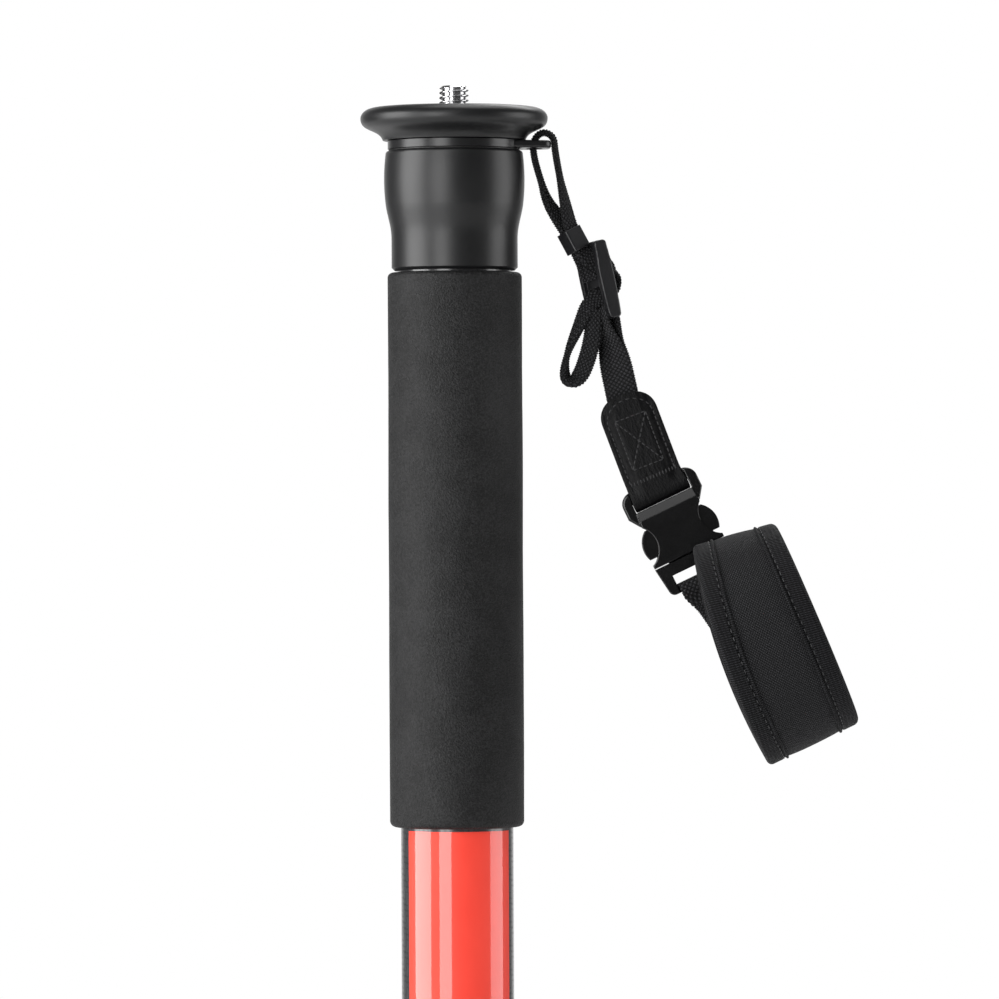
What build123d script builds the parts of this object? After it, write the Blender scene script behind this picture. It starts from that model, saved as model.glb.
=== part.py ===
from build123d import *
import math
import os

os.makedirs("parts", exist_ok=True)

# Camera monopod with a foam grip and a wrist strap, all lengths in millimetres, stored collapsed.
# The origin is the centre of the camera platform's top face, +Z runs up the column, and the strap's
# ear points along +X. Heights below the platform are written as positive drops.

# Platform disc and what it holds
platform_radius = 30.0
platform_flat_radius = 25.2
platform_rim_drop = 3.4
platform_height = 10.4
platform_lip_radius = 22.9
platform_underside_radius = 27.1
platform_underside_drop = 7.0
platform_web = 4.4
pad_inner_radius = 8.0
pad_outer_radius = 23.4
pad_thickness = 1.2

# Reversible screw: 3/8 inch above the platform, 1/4 inch stored below
screw_radius = 4.7625
screw_height = 7.0
screw_chamfer = 0.8
screw_neck_radius = 4.2
screw_countersink = 1.2
screw_flange_radius = 8.0
screw_flange_height = 2.8
small_screw_radius = 3.175
small_screw_length = 9.0
retainer_height = 2.6
retainer_socket_count = 2
retainer_socket_radius = 1.0

# Spigot that carries the strap's ring and screws into the collar
spigot_shoulder_radius = 16.5
spigot_thread_radius = 15.8
spigot_bore_radius = 11.0
spigot_thread_length = 13.0
screw_clearance = 0.1
running_gap = 0.08
face_gap = 0.3

# Swivel ring with the ear that the strap's cord goes through
ring_thickness = 2.5
ring_radius = 21.3
washer_thickness = 0.45
washer_radius = 21.0
ear_reach = 31.0
ear_half_width = 5.4
ear_root_half_width = 9.5
ear_bar = 3.1
eyelet_length = 7.2
eyelet_opening = 4.5
ear_round = 0.9

# Collar between the ring and the foam grip
collar_height = 38.3
collar_edge_radius = 22.0
collar_edge = 1.0
collar_bulge_radius = 22.5
collar_bulge_drop = 9.9
collar_shoulder_radius = 22.0
collar_shoulder_drop = 17.4
collar_neck_wall = 2.2
collar_neck_drop = 28.2
collar_chamfer = 0.9
collar_web = 9.0

# Foam grip
foam_radius = 21.5
foam_length = 177.4
foam_gap = 0.6
foam_edge = 1.7

# Tubes: each section slides in the one above with room for the guide shims
section_count = 5
tube_radius = 18.0
tube_wall = 1.2
slide_room = 0.6
upper_tube_end = 336.0
first_nested_top = 38.0
nest_step = 3.0
lock_pitch = 32.0
last_reach = 18.0
shim_length = 28.0
shim_split = 5.0
shim_seat_gap = 0.04

# Twist lock between two sections, measured from the outer tube's lower end
ferrule_wall = 1.4
ferrule_grip = 14.0
ferrule_nose = 7.2
collet_root_wall = 0.8
collet_cone_growth = 1.0
collet_top_drop = 0.5
collet_flange_height = 2.4
collet_flange_reach = 1.2
collet_slit = 0.9
collet_cut = 3.6
collet_slit_count = 6
collet_running_gap = 0.1
nut_thread_gap = 0.1
nut_wall = 1.6
nut_rim = 0.9
nut_above = 16.4
nut_lip_height = 1.6
nut_web_height = 3.0
nut_rim_height = 2.4
nut_tube_gap = 0.35
grip_proud = 0.6
flute_count = 22
flute_radius = 1.3
flute_depth = 0.7

# Foot
plug_length = 15.0
plug_flange_height = 3.0
plug_flange_reach = 0.9
foot_stud_radius = 4.7625
foot_stud_in_plug = 9.0
foot_stud_in_foot = 12.0
foot_height = 21.0
foot_top_reach = 0.6
foot_radius = 15.0
foot_sole_radius = 9.5
foot_shoulder_drop = 7.0
foot_bulge_drop = 14.0
foot_groove = 0.8
foot_groove_drop = 3.0

# Strap cord and its keeper: two passes of one flat cord lie in the keeper
cord_tube_radius = 0.8
keeper_x = 38.1
keeper_y = -3.0
keeper_drop = 42.7
keeper_tilt = 28.0
keeper_turn = 35.0
keeper_length = 7.1
keeper_width = 6.6
keeper_depth = 5.6
keeper_wall = 0.65

# Slider with three cross bars
slider_x = 45.75
slider_drop = 55.7
slider_tilt = 12.0
slider_turn = 27.0
slider_length = 25.2
slider_width = 15.0
slider_rail = 2.2
slider_rail_depth = 5.2
slider_rail_end_depth = 4.0
slider_bar_depth = 2.4
slider_end_bar = 3.0
slider_middle_bar = 3.9
slider_corner = 1.2
slider_round = 0.5

# Webbing, leather tab and the bar that they hang on
webbing_width = 10.0
webbing_stack = 2.4
webbing_in_leather = 18.0
twist_shares = (0.0, 0.25, 0.5, 0.75, 1.0)
leather_width = 18.3
leather_tilt = 21.0
leather_length = 36.5
leather_thickness = 1.3
leather_corner = 7.5
strap_tilt = 25.5
strap_y = 0.5

# Side release buckle, the half that the leather holds
buckle_x = 66.7
buckle_drop = 126.0
buckle_half_width = 13.0
buckle_corner = 4.0
buckle_slot = 3.0
buckle_slot_half_width = 9.8
buckle_top_bar = 4.0
buckle_bar_depth = 2.4
buckle_frame_depth = 4.4
buckle_depth = 6.4
buckle_frame_skirt = 1.0
buckle_shoulder_half_width = 10.2
buckle_shoulder = 5.0
buckle_waist_half_width = 7.9
buckle_waist = 11.2
buckle_mouth_half_width = 12.3
buckle_mouth_top = 17.4
buckle_length = 18.6
cavity_half_width = 10.5
cavity_top = 3.2
cavity_depth = 3.8
buckle_round = 0.7
buckle_bevel = 3.0
buckle_bevel_drop = 1.0

# The half that the wrist band holds
male_gap = 0.3
male_length = 10.0
male_end_half_width = 11.0
male_slot = 3.0
male_slot_half_width = 8.0
male_end_bar = 3.0
tongue_half_width = 2.2
tongue_top = 5.2
plug_half_width = 7.4
plug_reach = 2.2
prong_gap = 0.3
prong_root_inner = 8.2
prong_root_outer = 10.0
prong_shoulder = 15.4
prong_shoulder_outer = 12.3
prong_pad_outer = 13.0
prong_pad = 12.4
prong_pad_inner = 7.6
prong_tip_outer = 10.0
prong_tip_inner = 8.0
prong_tip = 6.2

# Wrist band: a padded loop about an axis that rises to the right
band_x = 99.96
band_y = -23.0
band_drop = 170.41
band_tilt = 20.5
band_half_height = 37.0
band_half_depth = 26.0
band_height_taper = 2.7
band_depth_taper = 0.9
band_width = 31.4
band_thickness = 4.0
binding_width = 5.6
binding_proud = 0.3
tab_width = 15.0
tab_thickness = 2.4
tab_hidden_gap = 0.9
tab_middle_side = 9.85
tab_middle_height = 16.0
tab_end_side = 7.45
tab_end_height = 5.0

overrun = 1.0
corner_share = 0.45

TOWARD_VIEWER = Vector(0, -1, 0)


def in_view(tilt):
    """Directions across and up a strap piece that faces the viewer and leans by tilt degrees."""
    lean = math.radians(tilt)
    return Vector(math.cos(lean), 0, math.sin(lean)), Vector(-math.sin(lean), 0, math.cos(lean))


def section_radius(index):
    return tube_radius - index * (tube_wall + slide_room)


def section_end(index):
    if index == section_count - 1:
        return section_end(index - 1) - last_reach
    return -upper_tube_end - index * lock_pitch


def section_top(index):
    return -first_nested_top - (index - 1) * nest_step


def save(builder, name):
    builder.part.label = name
    export_step(builder.part, f"parts/{name}.step")


# Heights that follow from the stack under the platform
ring_top = -platform_height - face_gap
ring_bottom = ring_top - ring_thickness
washer_top = ring_bottom - face_gap / 2
collar_top = washer_top - washer_thickness
collar_bottom = collar_top - collar_height
collar_neck_radius = tube_radius + collar_neck_wall
screw_seat = -platform_web
retainer_top = screw_seat - screw_flange_height
spigot_end = collar_top - spigot_thread_length
tube_top = collar_top - collar_web
foam_top = collar_bottom - foam_gap
screw_hole_radius = screw_radius + screw_clearance
ring_bore_radius = spigot_shoulder_radius + running_gap

with BuildPart() as platform_disc:
    with BuildSketch(Plane.XZ):
        with BuildLine():
            Line((screw_hole_radius + screw_countersink, 0), (platform_flat_radius, 0))
            EllipticalCenterArc(
                (platform_flat_radius, -platform_rim_drop),
                platform_radius - platform_flat_radius,
                platform_rim_drop,
                start_angle=0,
                arc_size=90,
            )
            Spline(
                (platform_radius, -platform_rim_drop),
                (platform_underside_radius, -platform_underside_drop),
                (platform_lip_radius, -platform_height),
                tangents=[(0, -1), (-0.3, -1)],
            )
            Polyline(
                (platform_lip_radius, -platform_height),
                (spigot_shoulder_radius, -platform_height),
                (spigot_shoulder_radius, collar_top),
                (spigot_thread_radius, collar_top),
                (spigot_thread_radius, spigot_end),
                (spigot_bore_radius, spigot_end),
                (spigot_bore_radius, screw_seat),
                (screw_hole_radius, screw_seat),
                (screw_hole_radius, -screw_countersink),
                (screw_hole_radius + screw_countersink, 0),
            )
        make_face()
    revolve(axis=Axis.Z)
    with BuildSketch(Plane.XY):
        Circle(pad_outer_radius)
        Circle(pad_inner_radius, mode=Mode.SUBTRACT)
    extrude(amount=-pad_thickness, mode=Mode.SUBTRACT)
save(platform_disc, "platform_disc")

with BuildPart() as platform_pad:
    with BuildSketch(Plane.XY):
        Circle(pad_outer_radius)
        Circle(pad_inner_radius, mode=Mode.SUBTRACT)
    extrude(amount=-pad_thickness)
save(platform_pad, "platform_pad")

with BuildPart() as camera_screw:
    with BuildSketch(Plane.XY):
        Circle(screw_radius)
    extrude(amount=screw_height)
    chamfer(camera_screw.edges().sort_by(Axis.Z)[-1], screw_chamfer)
    with BuildSketch(Plane.XY.offset(screw_seat)):
        Circle(screw_neck_radius)
    extrude(amount=platform_web)
    with BuildSketch(Plane.XY.offset(screw_seat)):
        Circle(screw_flange_radius)
    extrude(amount=-screw_flange_height)
    with BuildSketch(Plane.XY.offset(retainer_top)):
        Circle(small_screw_radius)
    extrude(amount=-small_screw_length)
    chamfer(camera_screw.edges().sort_by(Axis.Z)[0], screw_chamfer / 2)
save(camera_screw, "camera_screw")

with BuildPart() as screw_retainer:
    with BuildSketch(Plane.XY.offset(retainer_top)):
        Circle(spigot_bore_radius)
        Circle(small_screw_radius + screw_clearance, mode=Mode.SUBTRACT)
        with PolarLocations((spigot_bore_radius + small_screw_radius) / 2, retainer_socket_count):
            Circle(retainer_socket_radius, mode=Mode.SUBTRACT)
    extrude(amount=-retainer_height)
save(screw_retainer, "screw_retainer")

with BuildPart() as strap_ring:
    with BuildSketch(Plane.XY.offset(ring_bottom)):
        with BuildLine():
            root_x = math.sqrt(ring_radius**2 - ear_root_half_width**2)
            Polyline(
                (0, -ear_root_half_width),
                (root_x, -ear_root_half_width),
                (ear_reach, -ear_half_width),
                (ear_reach, ear_half_width),
                (root_x, ear_root_half_width),
                (0, ear_root_half_width),
                close=True,
            )
        make_face()
        Circle(ring_radius)
        Circle(ring_bore_radius, mode=Mode.SUBTRACT)
        with Locations((ear_reach - ear_bar - eyelet_opening / 2, 0)):
            RectangleRounded(eyelet_opening, eyelet_length, eyelet_opening / 3, mode=Mode.SUBTRACT)
    extrude(amount=ring_thickness)
    ear_corners = strap_ring.edges().filter_by(Axis.Z).group_by(Axis.X)[-1]
    fillet(ear_corners, ear_bar)
    ear_tip = strap_ring.edges().filter_by(Axis.Y).group_by(Axis.X)[-1]
    eyelet_rim = strap_ring.edges().filter_by(Axis.Y).group_by(Axis.X)[-2]
    fillet(ear_tip + eyelet_rim, ear_round)
save(strap_ring, "strap_ring")

with BuildPart() as swivel_washer:
    with BuildSketch(Plane.XY.offset(collar_top)):
        Circle(washer_radius)
        Circle(ring_bore_radius, mode=Mode.SUBTRACT)
    extrude(amount=washer_thickness)
save(swivel_washer, "swivel_washer")

with BuildPart() as collar:
    with BuildSketch(Plane.XZ):
        with BuildLine():
            Line((spigot_thread_radius, collar_top), (collar_edge_radius - collar_edge, collar_top))
            RadiusArc(
                (collar_edge_radius - collar_edge, collar_top),
                (collar_edge_radius, collar_top - collar_edge),
                collar_edge,
            )
            ThreePointArc(
                (collar_edge_radius, collar_top - collar_edge),
                (collar_bulge_radius, collar_top - collar_bulge_drop),
                (collar_shoulder_radius, collar_top - collar_shoulder_drop),
            )
            Spline(
                (collar_shoulder_radius, collar_top - collar_shoulder_drop),
                (collar_neck_radius, collar_top - collar_neck_drop),
                tangents=[(-0.14, -1), (0, -1)],
            )
            Polyline(
                (collar_neck_radius, collar_top - collar_neck_drop),
                (collar_neck_radius, collar_bottom + collar_chamfer),
                (collar_neck_radius - collar_chamfer, collar_bottom),
                (tube_radius, collar_bottom),
                (tube_radius, tube_top),
                (spigot_thread_radius, tube_top),
                (spigot_thread_radius, collar_top),
            )
        make_face()
    revolve(axis=Axis.Z)
save(collar, "collar")

with BuildPart() as foam_grip:
    with BuildSketch(Plane.XY.offset(foam_top)):
        Circle(foam_radius)
        Circle(tube_radius, mode=Mode.SUBTRACT)
    extrude(amount=-foam_length)
    fillet(foam_grip.edges().filter_by(GeomType.CIRCLE).group_by(SortBy.RADIUS)[-1], foam_edge)
save(foam_grip, "foam_grip")

# Sections of the column, with the guide shims that centre each one in the tube above it
for index in range(section_count):
    outer = section_radius(index)
    top = tube_top if index == 0 else section_top(index)
    with BuildPart() as tube:
        with BuildSketch(Plane.XY.offset(section_end(index))):
            Circle(outer)
            Circle(outer - tube_wall, mode=Mode.SUBTRACT)
        extrude(amount=top - section_end(index))
    save(tube, "upper_tube" if index == 0 else f"tube_{index + 1}")

    if index == 0:
        continue
    with BuildPart() as guide_shims:
        with BuildSketch(Plane.XY.offset(top)):
            Circle(outer + slide_room - running_gap)
            Circle(outer + shim_seat_gap, mode=Mode.SUBTRACT)
            Rectangle(shim_split, 2 * (outer + overrun), mode=Mode.SUBTRACT)
        extrude(amount=-shim_length)
    save(guide_shims, f"guide_shims_{index + 1}")

# Twist locks: a ferrule on each tube's lower end, a slit collet in its cone, a nut and its rubber grip
for index in range(section_count - 1):
    outer = section_radius(index)
    inner = section_radius(index + 1)
    end = section_end(index)
    cone_top_radius = inner + collet_running_gap + collet_root_wall
    cone_bottom_radius = cone_top_radius + collet_cone_growth
    thread_radius = outer + ferrule_wall
    collet_bottom = end - ferrule_nose - collet_flange_height - face_gap
    nut_inner = thread_radius + nut_thread_gap
    nut_outer = nut_inner + nut_wall
    nut_top = end + nut_above
    nut_bottom = collet_bottom - face_gap - nut_web_height

    with BuildPart() as lock_ferrule:
        with BuildSketch(Plane.XZ):
            with BuildLine():
                Polyline(
                    (outer, end + ferrule_grip),
                    (thread_radius, end + ferrule_grip),
                    (thread_radius, end - ferrule_nose),
                    (cone_bottom_radius + 2 * running_gap, end - ferrule_nose),
                    (cone_top_radius + 2 * running_gap, end),
                    (outer, end),
                    close=True,
                )
            make_face()
        revolve(axis=Axis.Z)
    save(lock_ferrule, f"lock_ferrule_{index + 1}")

    with BuildPart() as lock_collet:
        with BuildSketch(Plane.XZ):
            with BuildLine():
                Polyline(
                    (inner + collet_running_gap, end - collet_top_drop),
                    (cone_top_radius, end - collet_top_drop),
                    (cone_bottom_radius, end - ferrule_nose),
                    (cone_bottom_radius, end - ferrule_nose - face_gap),
                    (outer + collet_flange_reach, end - ferrule_nose - face_gap),
                    (outer + collet_flange_reach, collet_bottom),
                    (inner + collet_running_gap, collet_bottom),
                    close=True,
                )
            make_face()
        revolve(axis=Axis.Z)
        with BuildSketch(Plane.XY.offset(end - collet_top_drop)):
            with PolarLocations(inner, collet_slit_count):
                Rectangle(2 * collet_cut, collet_slit)
        extrude(amount=collet_top_drop - ferrule_nose, mode=Mode.SUBTRACT)
        with BuildSketch(Plane.XY.offset(end - collet_top_drop)):
            with Locations((outer, 0)):
                Rectangle(2 * collet_cut, collet_slit)
        extrude(amount=collet_bottom - end, mode=Mode.SUBTRACT)
    save(lock_collet, f"lock_collet_{index + 1}")

    with BuildPart() as lock_nut:
        with BuildSketch(Plane.XZ):
            with BuildLine():
                Polyline(
                    (outer + nut_tube_gap, nut_top),
                    (nut_outer + nut_rim - grip_proud, nut_top),
                    (nut_outer + nut_rim, nut_top - grip_proud),
                    (nut_outer + nut_rim, nut_top - nut_rim_height),
                    (nut_outer, nut_top - nut_rim_height),
                    (nut_outer, nut_bottom + nut_rim_height),
                    (nut_outer + nut_rim, nut_bottom + nut_rim_height),
                    (nut_outer + nut_rim, nut_bottom + grip_proud),
                    (nut_outer + nut_rim - grip_proud, nut_bottom),
                    (inner + nut_tube_gap, nut_bottom),
                    (inner + nut_tube_gap, nut_bottom + nut_web_height),
                    (nut_inner, nut_bottom + nut_web_height),
                    (nut_inner, nut_top - nut_lip_height),
                    (outer + nut_tube_gap, nut_top - nut_lip_height),
                    close=True,
                )
            make_face()
        revolve(axis=Axis.Z)
    save(lock_nut, f"lock_nut_{index + 1}")

    grip_outer = nut_outer + nut_rim + grip_proud
    with BuildPart() as lock_grip:
        with BuildSketch(Plane.XY.offset(nut_bottom + nut_rim_height)):
            Circle(grip_outer)
            Circle(nut_outer, mode=Mode.SUBTRACT)
            with PolarLocations(grip_outer - flute_depth + flute_radius, flute_count):
                Circle(flute_radius, mode=Mode.SUBTRACT)
        extrude(amount=nut_top - nut_bottom - 2 * nut_rim_height)
    save(lock_grip, f"lock_grip_{index + 1}")

# Foot: plug in the last tube, stud and rubber foot
last_radius = section_radius(section_count - 1)
last_end = section_end(section_count - 1)
foot_top = last_end - plug_flange_height
sole = foot_top - foot_height

with BuildPart() as foot_plug:
    with BuildSketch(Plane.XY.offset(last_end)):
        Circle(last_radius - tube_wall)
    extrude(amount=plug_length)
    with BuildSketch(Plane.XY.offset(last_end)):
        Circle(last_radius + plug_flange_reach)
    extrude(amount=-plug_flange_height)
    chamfer(foot_plug.edges().filter_by(GeomType.CIRCLE).sort_by(Axis.Z)[-1], screw_chamfer)
    with BuildSketch(Plane.XY.offset(foot_top)):
        Circle(foot_stud_radius)
    extrude(amount=foot_stud_in_plug, mode=Mode.SUBTRACT)
save(foot_plug, "foot_plug")

with BuildPart() as foot_stud:
    with BuildSketch(Plane.XY.offset(foot_top - foot_stud_in_foot)):
        Circle(foot_stud_radius)
    extrude(amount=foot_stud_in_foot + foot_stud_in_plug)
    chamfer(foot_stud.edges().filter_by(GeomType.CIRCLE), screw_chamfer / 2)
save(foot_stud, "foot_stud")

with BuildPart() as rubber_foot:
    with BuildSketch(Plane.XZ):
        with BuildLine():
            Line((foot_stud_radius, foot_top), (last_radius + foot_top_reach, foot_top))
            Line(
                (last_radius + foot_top_reach, foot_top),
                (last_radius + foot_top_reach, foot_top - foot_shoulder_drop),
            )
            Spline(
                (last_radius + foot_top_reach, foot_top - foot_shoulder_drop),
                (foot_radius, foot_top - foot_bulge_drop),
                (foot_sole_radius, sole),
                tangents=[(0, -1), (-1, -0.1)],
            )
            Polyline(
                (foot_sole_radius, sole),
                (0, sole),
                (0, foot_top - foot_stud_in_foot),
                (foot_stud_radius, foot_top - foot_stud_in_foot),
                (foot_stud_radius, foot_top),
            )
        make_face()
    revolve(axis=Axis.Z)
    for groove in (1, 2):
        with BuildSketch(Plane.XY.offset(foot_top - groove * foot_groove_drop + foot_groove)):
            Circle(foot_radius)
            Circle(last_radius + foot_top_reach - foot_groove, mode=Mode.SUBTRACT)
        extrude(amount=-foot_groove, mode=Mode.SUBTRACT)
save(rubber_foot, "rubber_foot")

# Cord of the strap, as one tube from the slider up through the ear, back down and round its tail loop.
# The points are chosen by hand on the photographed route.
cord_points = [
    (43.7, -0.8, -55.5),
    (42.2, -0.6, -51.2),
    (39.70, -2.26, -46.57),
    (36.38, -2.26, -40.30),
    (33.0, -1.6, -35.0),
    (29.7, -0.8, -30.0),
    (27.7, -0.2, -23.5),
    (25.5, 0.0, -16.0),
    (25.2, 0.0, -10.6),
    (28.2, 0.0, -7.6),
    (31.9, 0.0, -9.2),
    (32.3, 0.0, -14.0),
    (33.6, -0.6, -21.5),
    (35.3, -1.8, -30.0),
    (37.29, -3.74, -39.82),
    (40.62, -3.74, -46.09),
    (43.6, -2.6, -49.3),
    (49.0, 1.4, -50.2),
    (52.2, 3.0, -54.3),
    (50.2, 2.2, -59.0),
    (43.5, -1.7, -61.8),
    (39.4, -1.9, -70.6),
    (35.2, -2.0, -80.2),
    (35.0, -2.2, -88.0),
    (39.6, -2.6, -87.4),
    (42.7, -2.8, -79.6),
    (44.5, -2.7, -71.0),
    (44.6, -2.3, -64.9),
]


def corner_radii(points):
    """Largest comfortable arc at each corner of a route."""
    corners = [Vector(*point) for point in points]
    radii = []
    for before, here, after in zip(corners, corners[1:], corners[2:]):
        shorter = min((here - before).length, (after - here).length)
        half_turn = math.radians((here - before).get_angle(after - here)) / 2
        radii.append(corner_share * shorter / math.tan(half_turn))
    return radii


cord_radii = corner_radii(cord_points)
with BuildPart() as strap_cord:
    with BuildLine() as cord_route:
        FilletPolyline(*cord_points, radius=cord_radii)
    cord_wire = cord_route.wires()[0]
    with BuildSketch(Plane(cord_wire @ 0, z_dir=cord_wire % 0)):
        Circle(cord_tube_radius)
    sweep(path=cord_wire)
save(strap_cord, "strap_cord")
cord_length = cord_wire.length
print("cord length", round(cord_length, 1), "tightest arc", round(min(cord_radii), 2))
print("cord volume ratio", round(strap_cord.part.volume / (math.pi * cord_tube_radius**2 * cord_length), 4))

# Keeper: a short box sleeve that holds both passes of the cord
keeper_across, keeper_up = in_view(keeper_tilt)
keeper_spin = math.radians(keeper_turn)
keeper_face = TOWARD_VIEWER * math.cos(keeper_spin) + keeper_across * math.sin(keeper_spin)
keeper_plane = Plane(
    Vector(keeper_x, keeper_y, -keeper_drop) - keeper_up * (keeper_length / 2),
    x_dir=keeper_face,
    z_dir=keeper_up,
)
with BuildPart() as cord_keeper:
    with BuildSketch(keeper_plane):
        RectangleRounded(keeper_depth, keeper_width, keeper_wall)
        RectangleRounded(
            keeper_depth - 2 * keeper_wall,
            keeper_width - 2 * keeper_wall,
            keeper_wall / 2,
            mode=Mode.SUBTRACT,
        )
    extrude(amount=keeper_length)
save(cord_keeper, "cord_keeper")

# Slider: two rails and three cross bars, seen nearly edge on
slider_across, slider_up = in_view(slider_tilt)
turn = math.radians(slider_turn)
slider_normal = slider_across * math.cos(turn) - TOWARD_VIEWER * math.sin(turn)
slider_centre = Vector(slider_x, 0, -slider_drop)
slider_plane = Plane(slider_centre, x_dir=slider_up.cross(slider_normal), z_dir=slider_normal)
slider_side = slider_plane.x_dir
slider_inner_width = slider_width - 2 * slider_rail
bar_spacing = (slider_length - slider_end_bar) / 2
with BuildPart() as cord_slider:
    for side in (1, -1):
        rail_plane = Plane(
            slider_centre + slider_side * (side * slider_inner_width / 2),
            x_dir=slider_normal,
            z_dir=slider_side * side,
        )
        with BuildSketch(rail_plane):
            with BuildLine():
                for half in (1, -1):
                    ThreePointArc(
                        (half * slider_rail_end_depth / 2, slider_length / 2),
                        (half * slider_rail_depth / 2, 0),
                        (half * slider_rail_end_depth / 2, -slider_length / 2),
                    )
                for end in (1, -1):
                    Line(
                        (-slider_rail_end_depth / 2, end * slider_length / 2),
                        (slider_rail_end_depth / 2, end * slider_length / 2),
                    )
            make_face()
            fillet(vertices(), slider_corner)
        extrude(amount=slider_rail)
    outer_faces = cord_slider.faces().sort_by(Axis(slider_centre, slider_side))
    fillet(outer_faces[0].edges() + outer_faces[-1].edges(), slider_round)
    with BuildSketch(slider_plane):
        Rectangle(slider_inner_width, slider_middle_bar)
        with Locations((0, bar_spacing), (0, -bar_spacing)):
            Rectangle(slider_inner_width, slider_end_bar)
    extrude(amount=slider_bar_depth / 2, both=True)
save(cord_slider, "cord_slider")

# Frames of the buckle and the leather tab, which share one plane
strap_across, strap_up = in_view(strap_tilt)
buckle_origin = Vector(buckle_x, strap_y, -buckle_drop)
buckle_plane = Plane(buckle_origin, x_dir=strap_across, z_dir=TOWARD_VIEWER)
buckle_side_plane = Plane(buckle_origin, x_dir=TOWARD_VIEWER, z_dir=strap_across * -1)

# Webbing: round the slider's lowest bar, then a quarter twist down into the leather tab
lower_bar = slider_centre - slider_up * bar_spacing
loop_height = slider_end_bar + webbing_stack
webbing_start = lower_bar - slider_up * (loop_height / 2 - overrun / 2)
leather_top_height = leather_length - leather_thickness
fold_height = buckle_slot
leaf_across, leaf_up = in_view(leather_tilt)
leaf_origin = buckle_origin + strap_up * fold_height
leaf_reach = leather_top_height - fold_height
webbing_finish = leaf_origin + leaf_up * leaf_reach
with BuildPart() as strap_webbing:
    with BuildSketch(Plane(lower_bar, x_dir=slider_normal, z_dir=slider_side)):
        RectangleRounded(slider_bar_depth + webbing_stack, loop_height, webbing_stack / 2)
    extrude(amount=webbing_width / 2, both=True)
    for share in twist_shares:
        centre = webbing_start + (webbing_finish - webbing_start) * share
        down = slider_up * (share - 1) - leaf_up * share
        side = slider_side * (share - 1) + leaf_across * share
        with BuildSketch(Plane(centre, x_dir=side, z_dir=down)):
            Rectangle(webbing_width, webbing_stack)
    loft()
    with BuildSketch(Plane(webbing_finish, x_dir=leaf_across, z_dir=leaf_up * -1)):
        Rectangle(webbing_width, webbing_stack)
    extrude(amount=webbing_in_leather)
    with BuildSketch(Plane(lower_bar, x_dir=slider_normal, z_dir=slider_side)):
        Rectangle(slider_bar_depth, slider_end_bar)
    extrude(amount=webbing_width, both=True, mode=Mode.SUBTRACT)
save(strap_webbing, "strap_webbing")

# Leather tab: one strip folded round the buckle's top bar, its two leaves sewn over the webbing. The
# leaves lean less than the buckle.
leaf_inner = webbing_stack / 2
leaf_outer = leaf_inner + leather_thickness
leaf_plane = Plane(leaf_origin, x_dir=TOWARD_VIEWER, z_dir=leaf_across * -1)
with BuildPart() as leather_tab:
    with BuildSketch(leaf_plane):
        with Locations((0, leaf_reach / 2)):
            Rectangle(2 * leaf_outer, leaf_reach)
    extrude(amount=leather_width / 2, both=True)
    tops = leather_tab.edges().filter_by(Axis.Y).sort_by(Axis(leaf_origin, leaf_up))[-2:]
    fillet(tops, leather_corner)
    with BuildSketch(buckle_side_plane):
        with Locations((0, fold_height)):
            Circle(leaf_outer)
        with Locations((0, fold_height + overrun / 2)):
            Rectangle(2 * leaf_outer, overrun)
    extrude(amount=leather_width / 2, both=True)
    with BuildSketch(leaf_plane):
        with Locations((0, (leaf_reach + overrun) / 2)):
            Rectangle(2 * leaf_inner, leaf_reach + overrun)
    extrude(amount=leather_width, both=True, mode=Mode.SUBTRACT)
    with BuildSketch(buckle_side_plane):
        with Locations((0, fold_height)):
            Circle(leaf_inner)
        with Locations((0, fold_height + overrun / 2)):
            Rectangle(2 * leaf_inner, overrun)
    extrude(amount=leather_width, both=True, mode=Mode.SUBTRACT)
save(leather_tab, "leather_tab")

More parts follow.
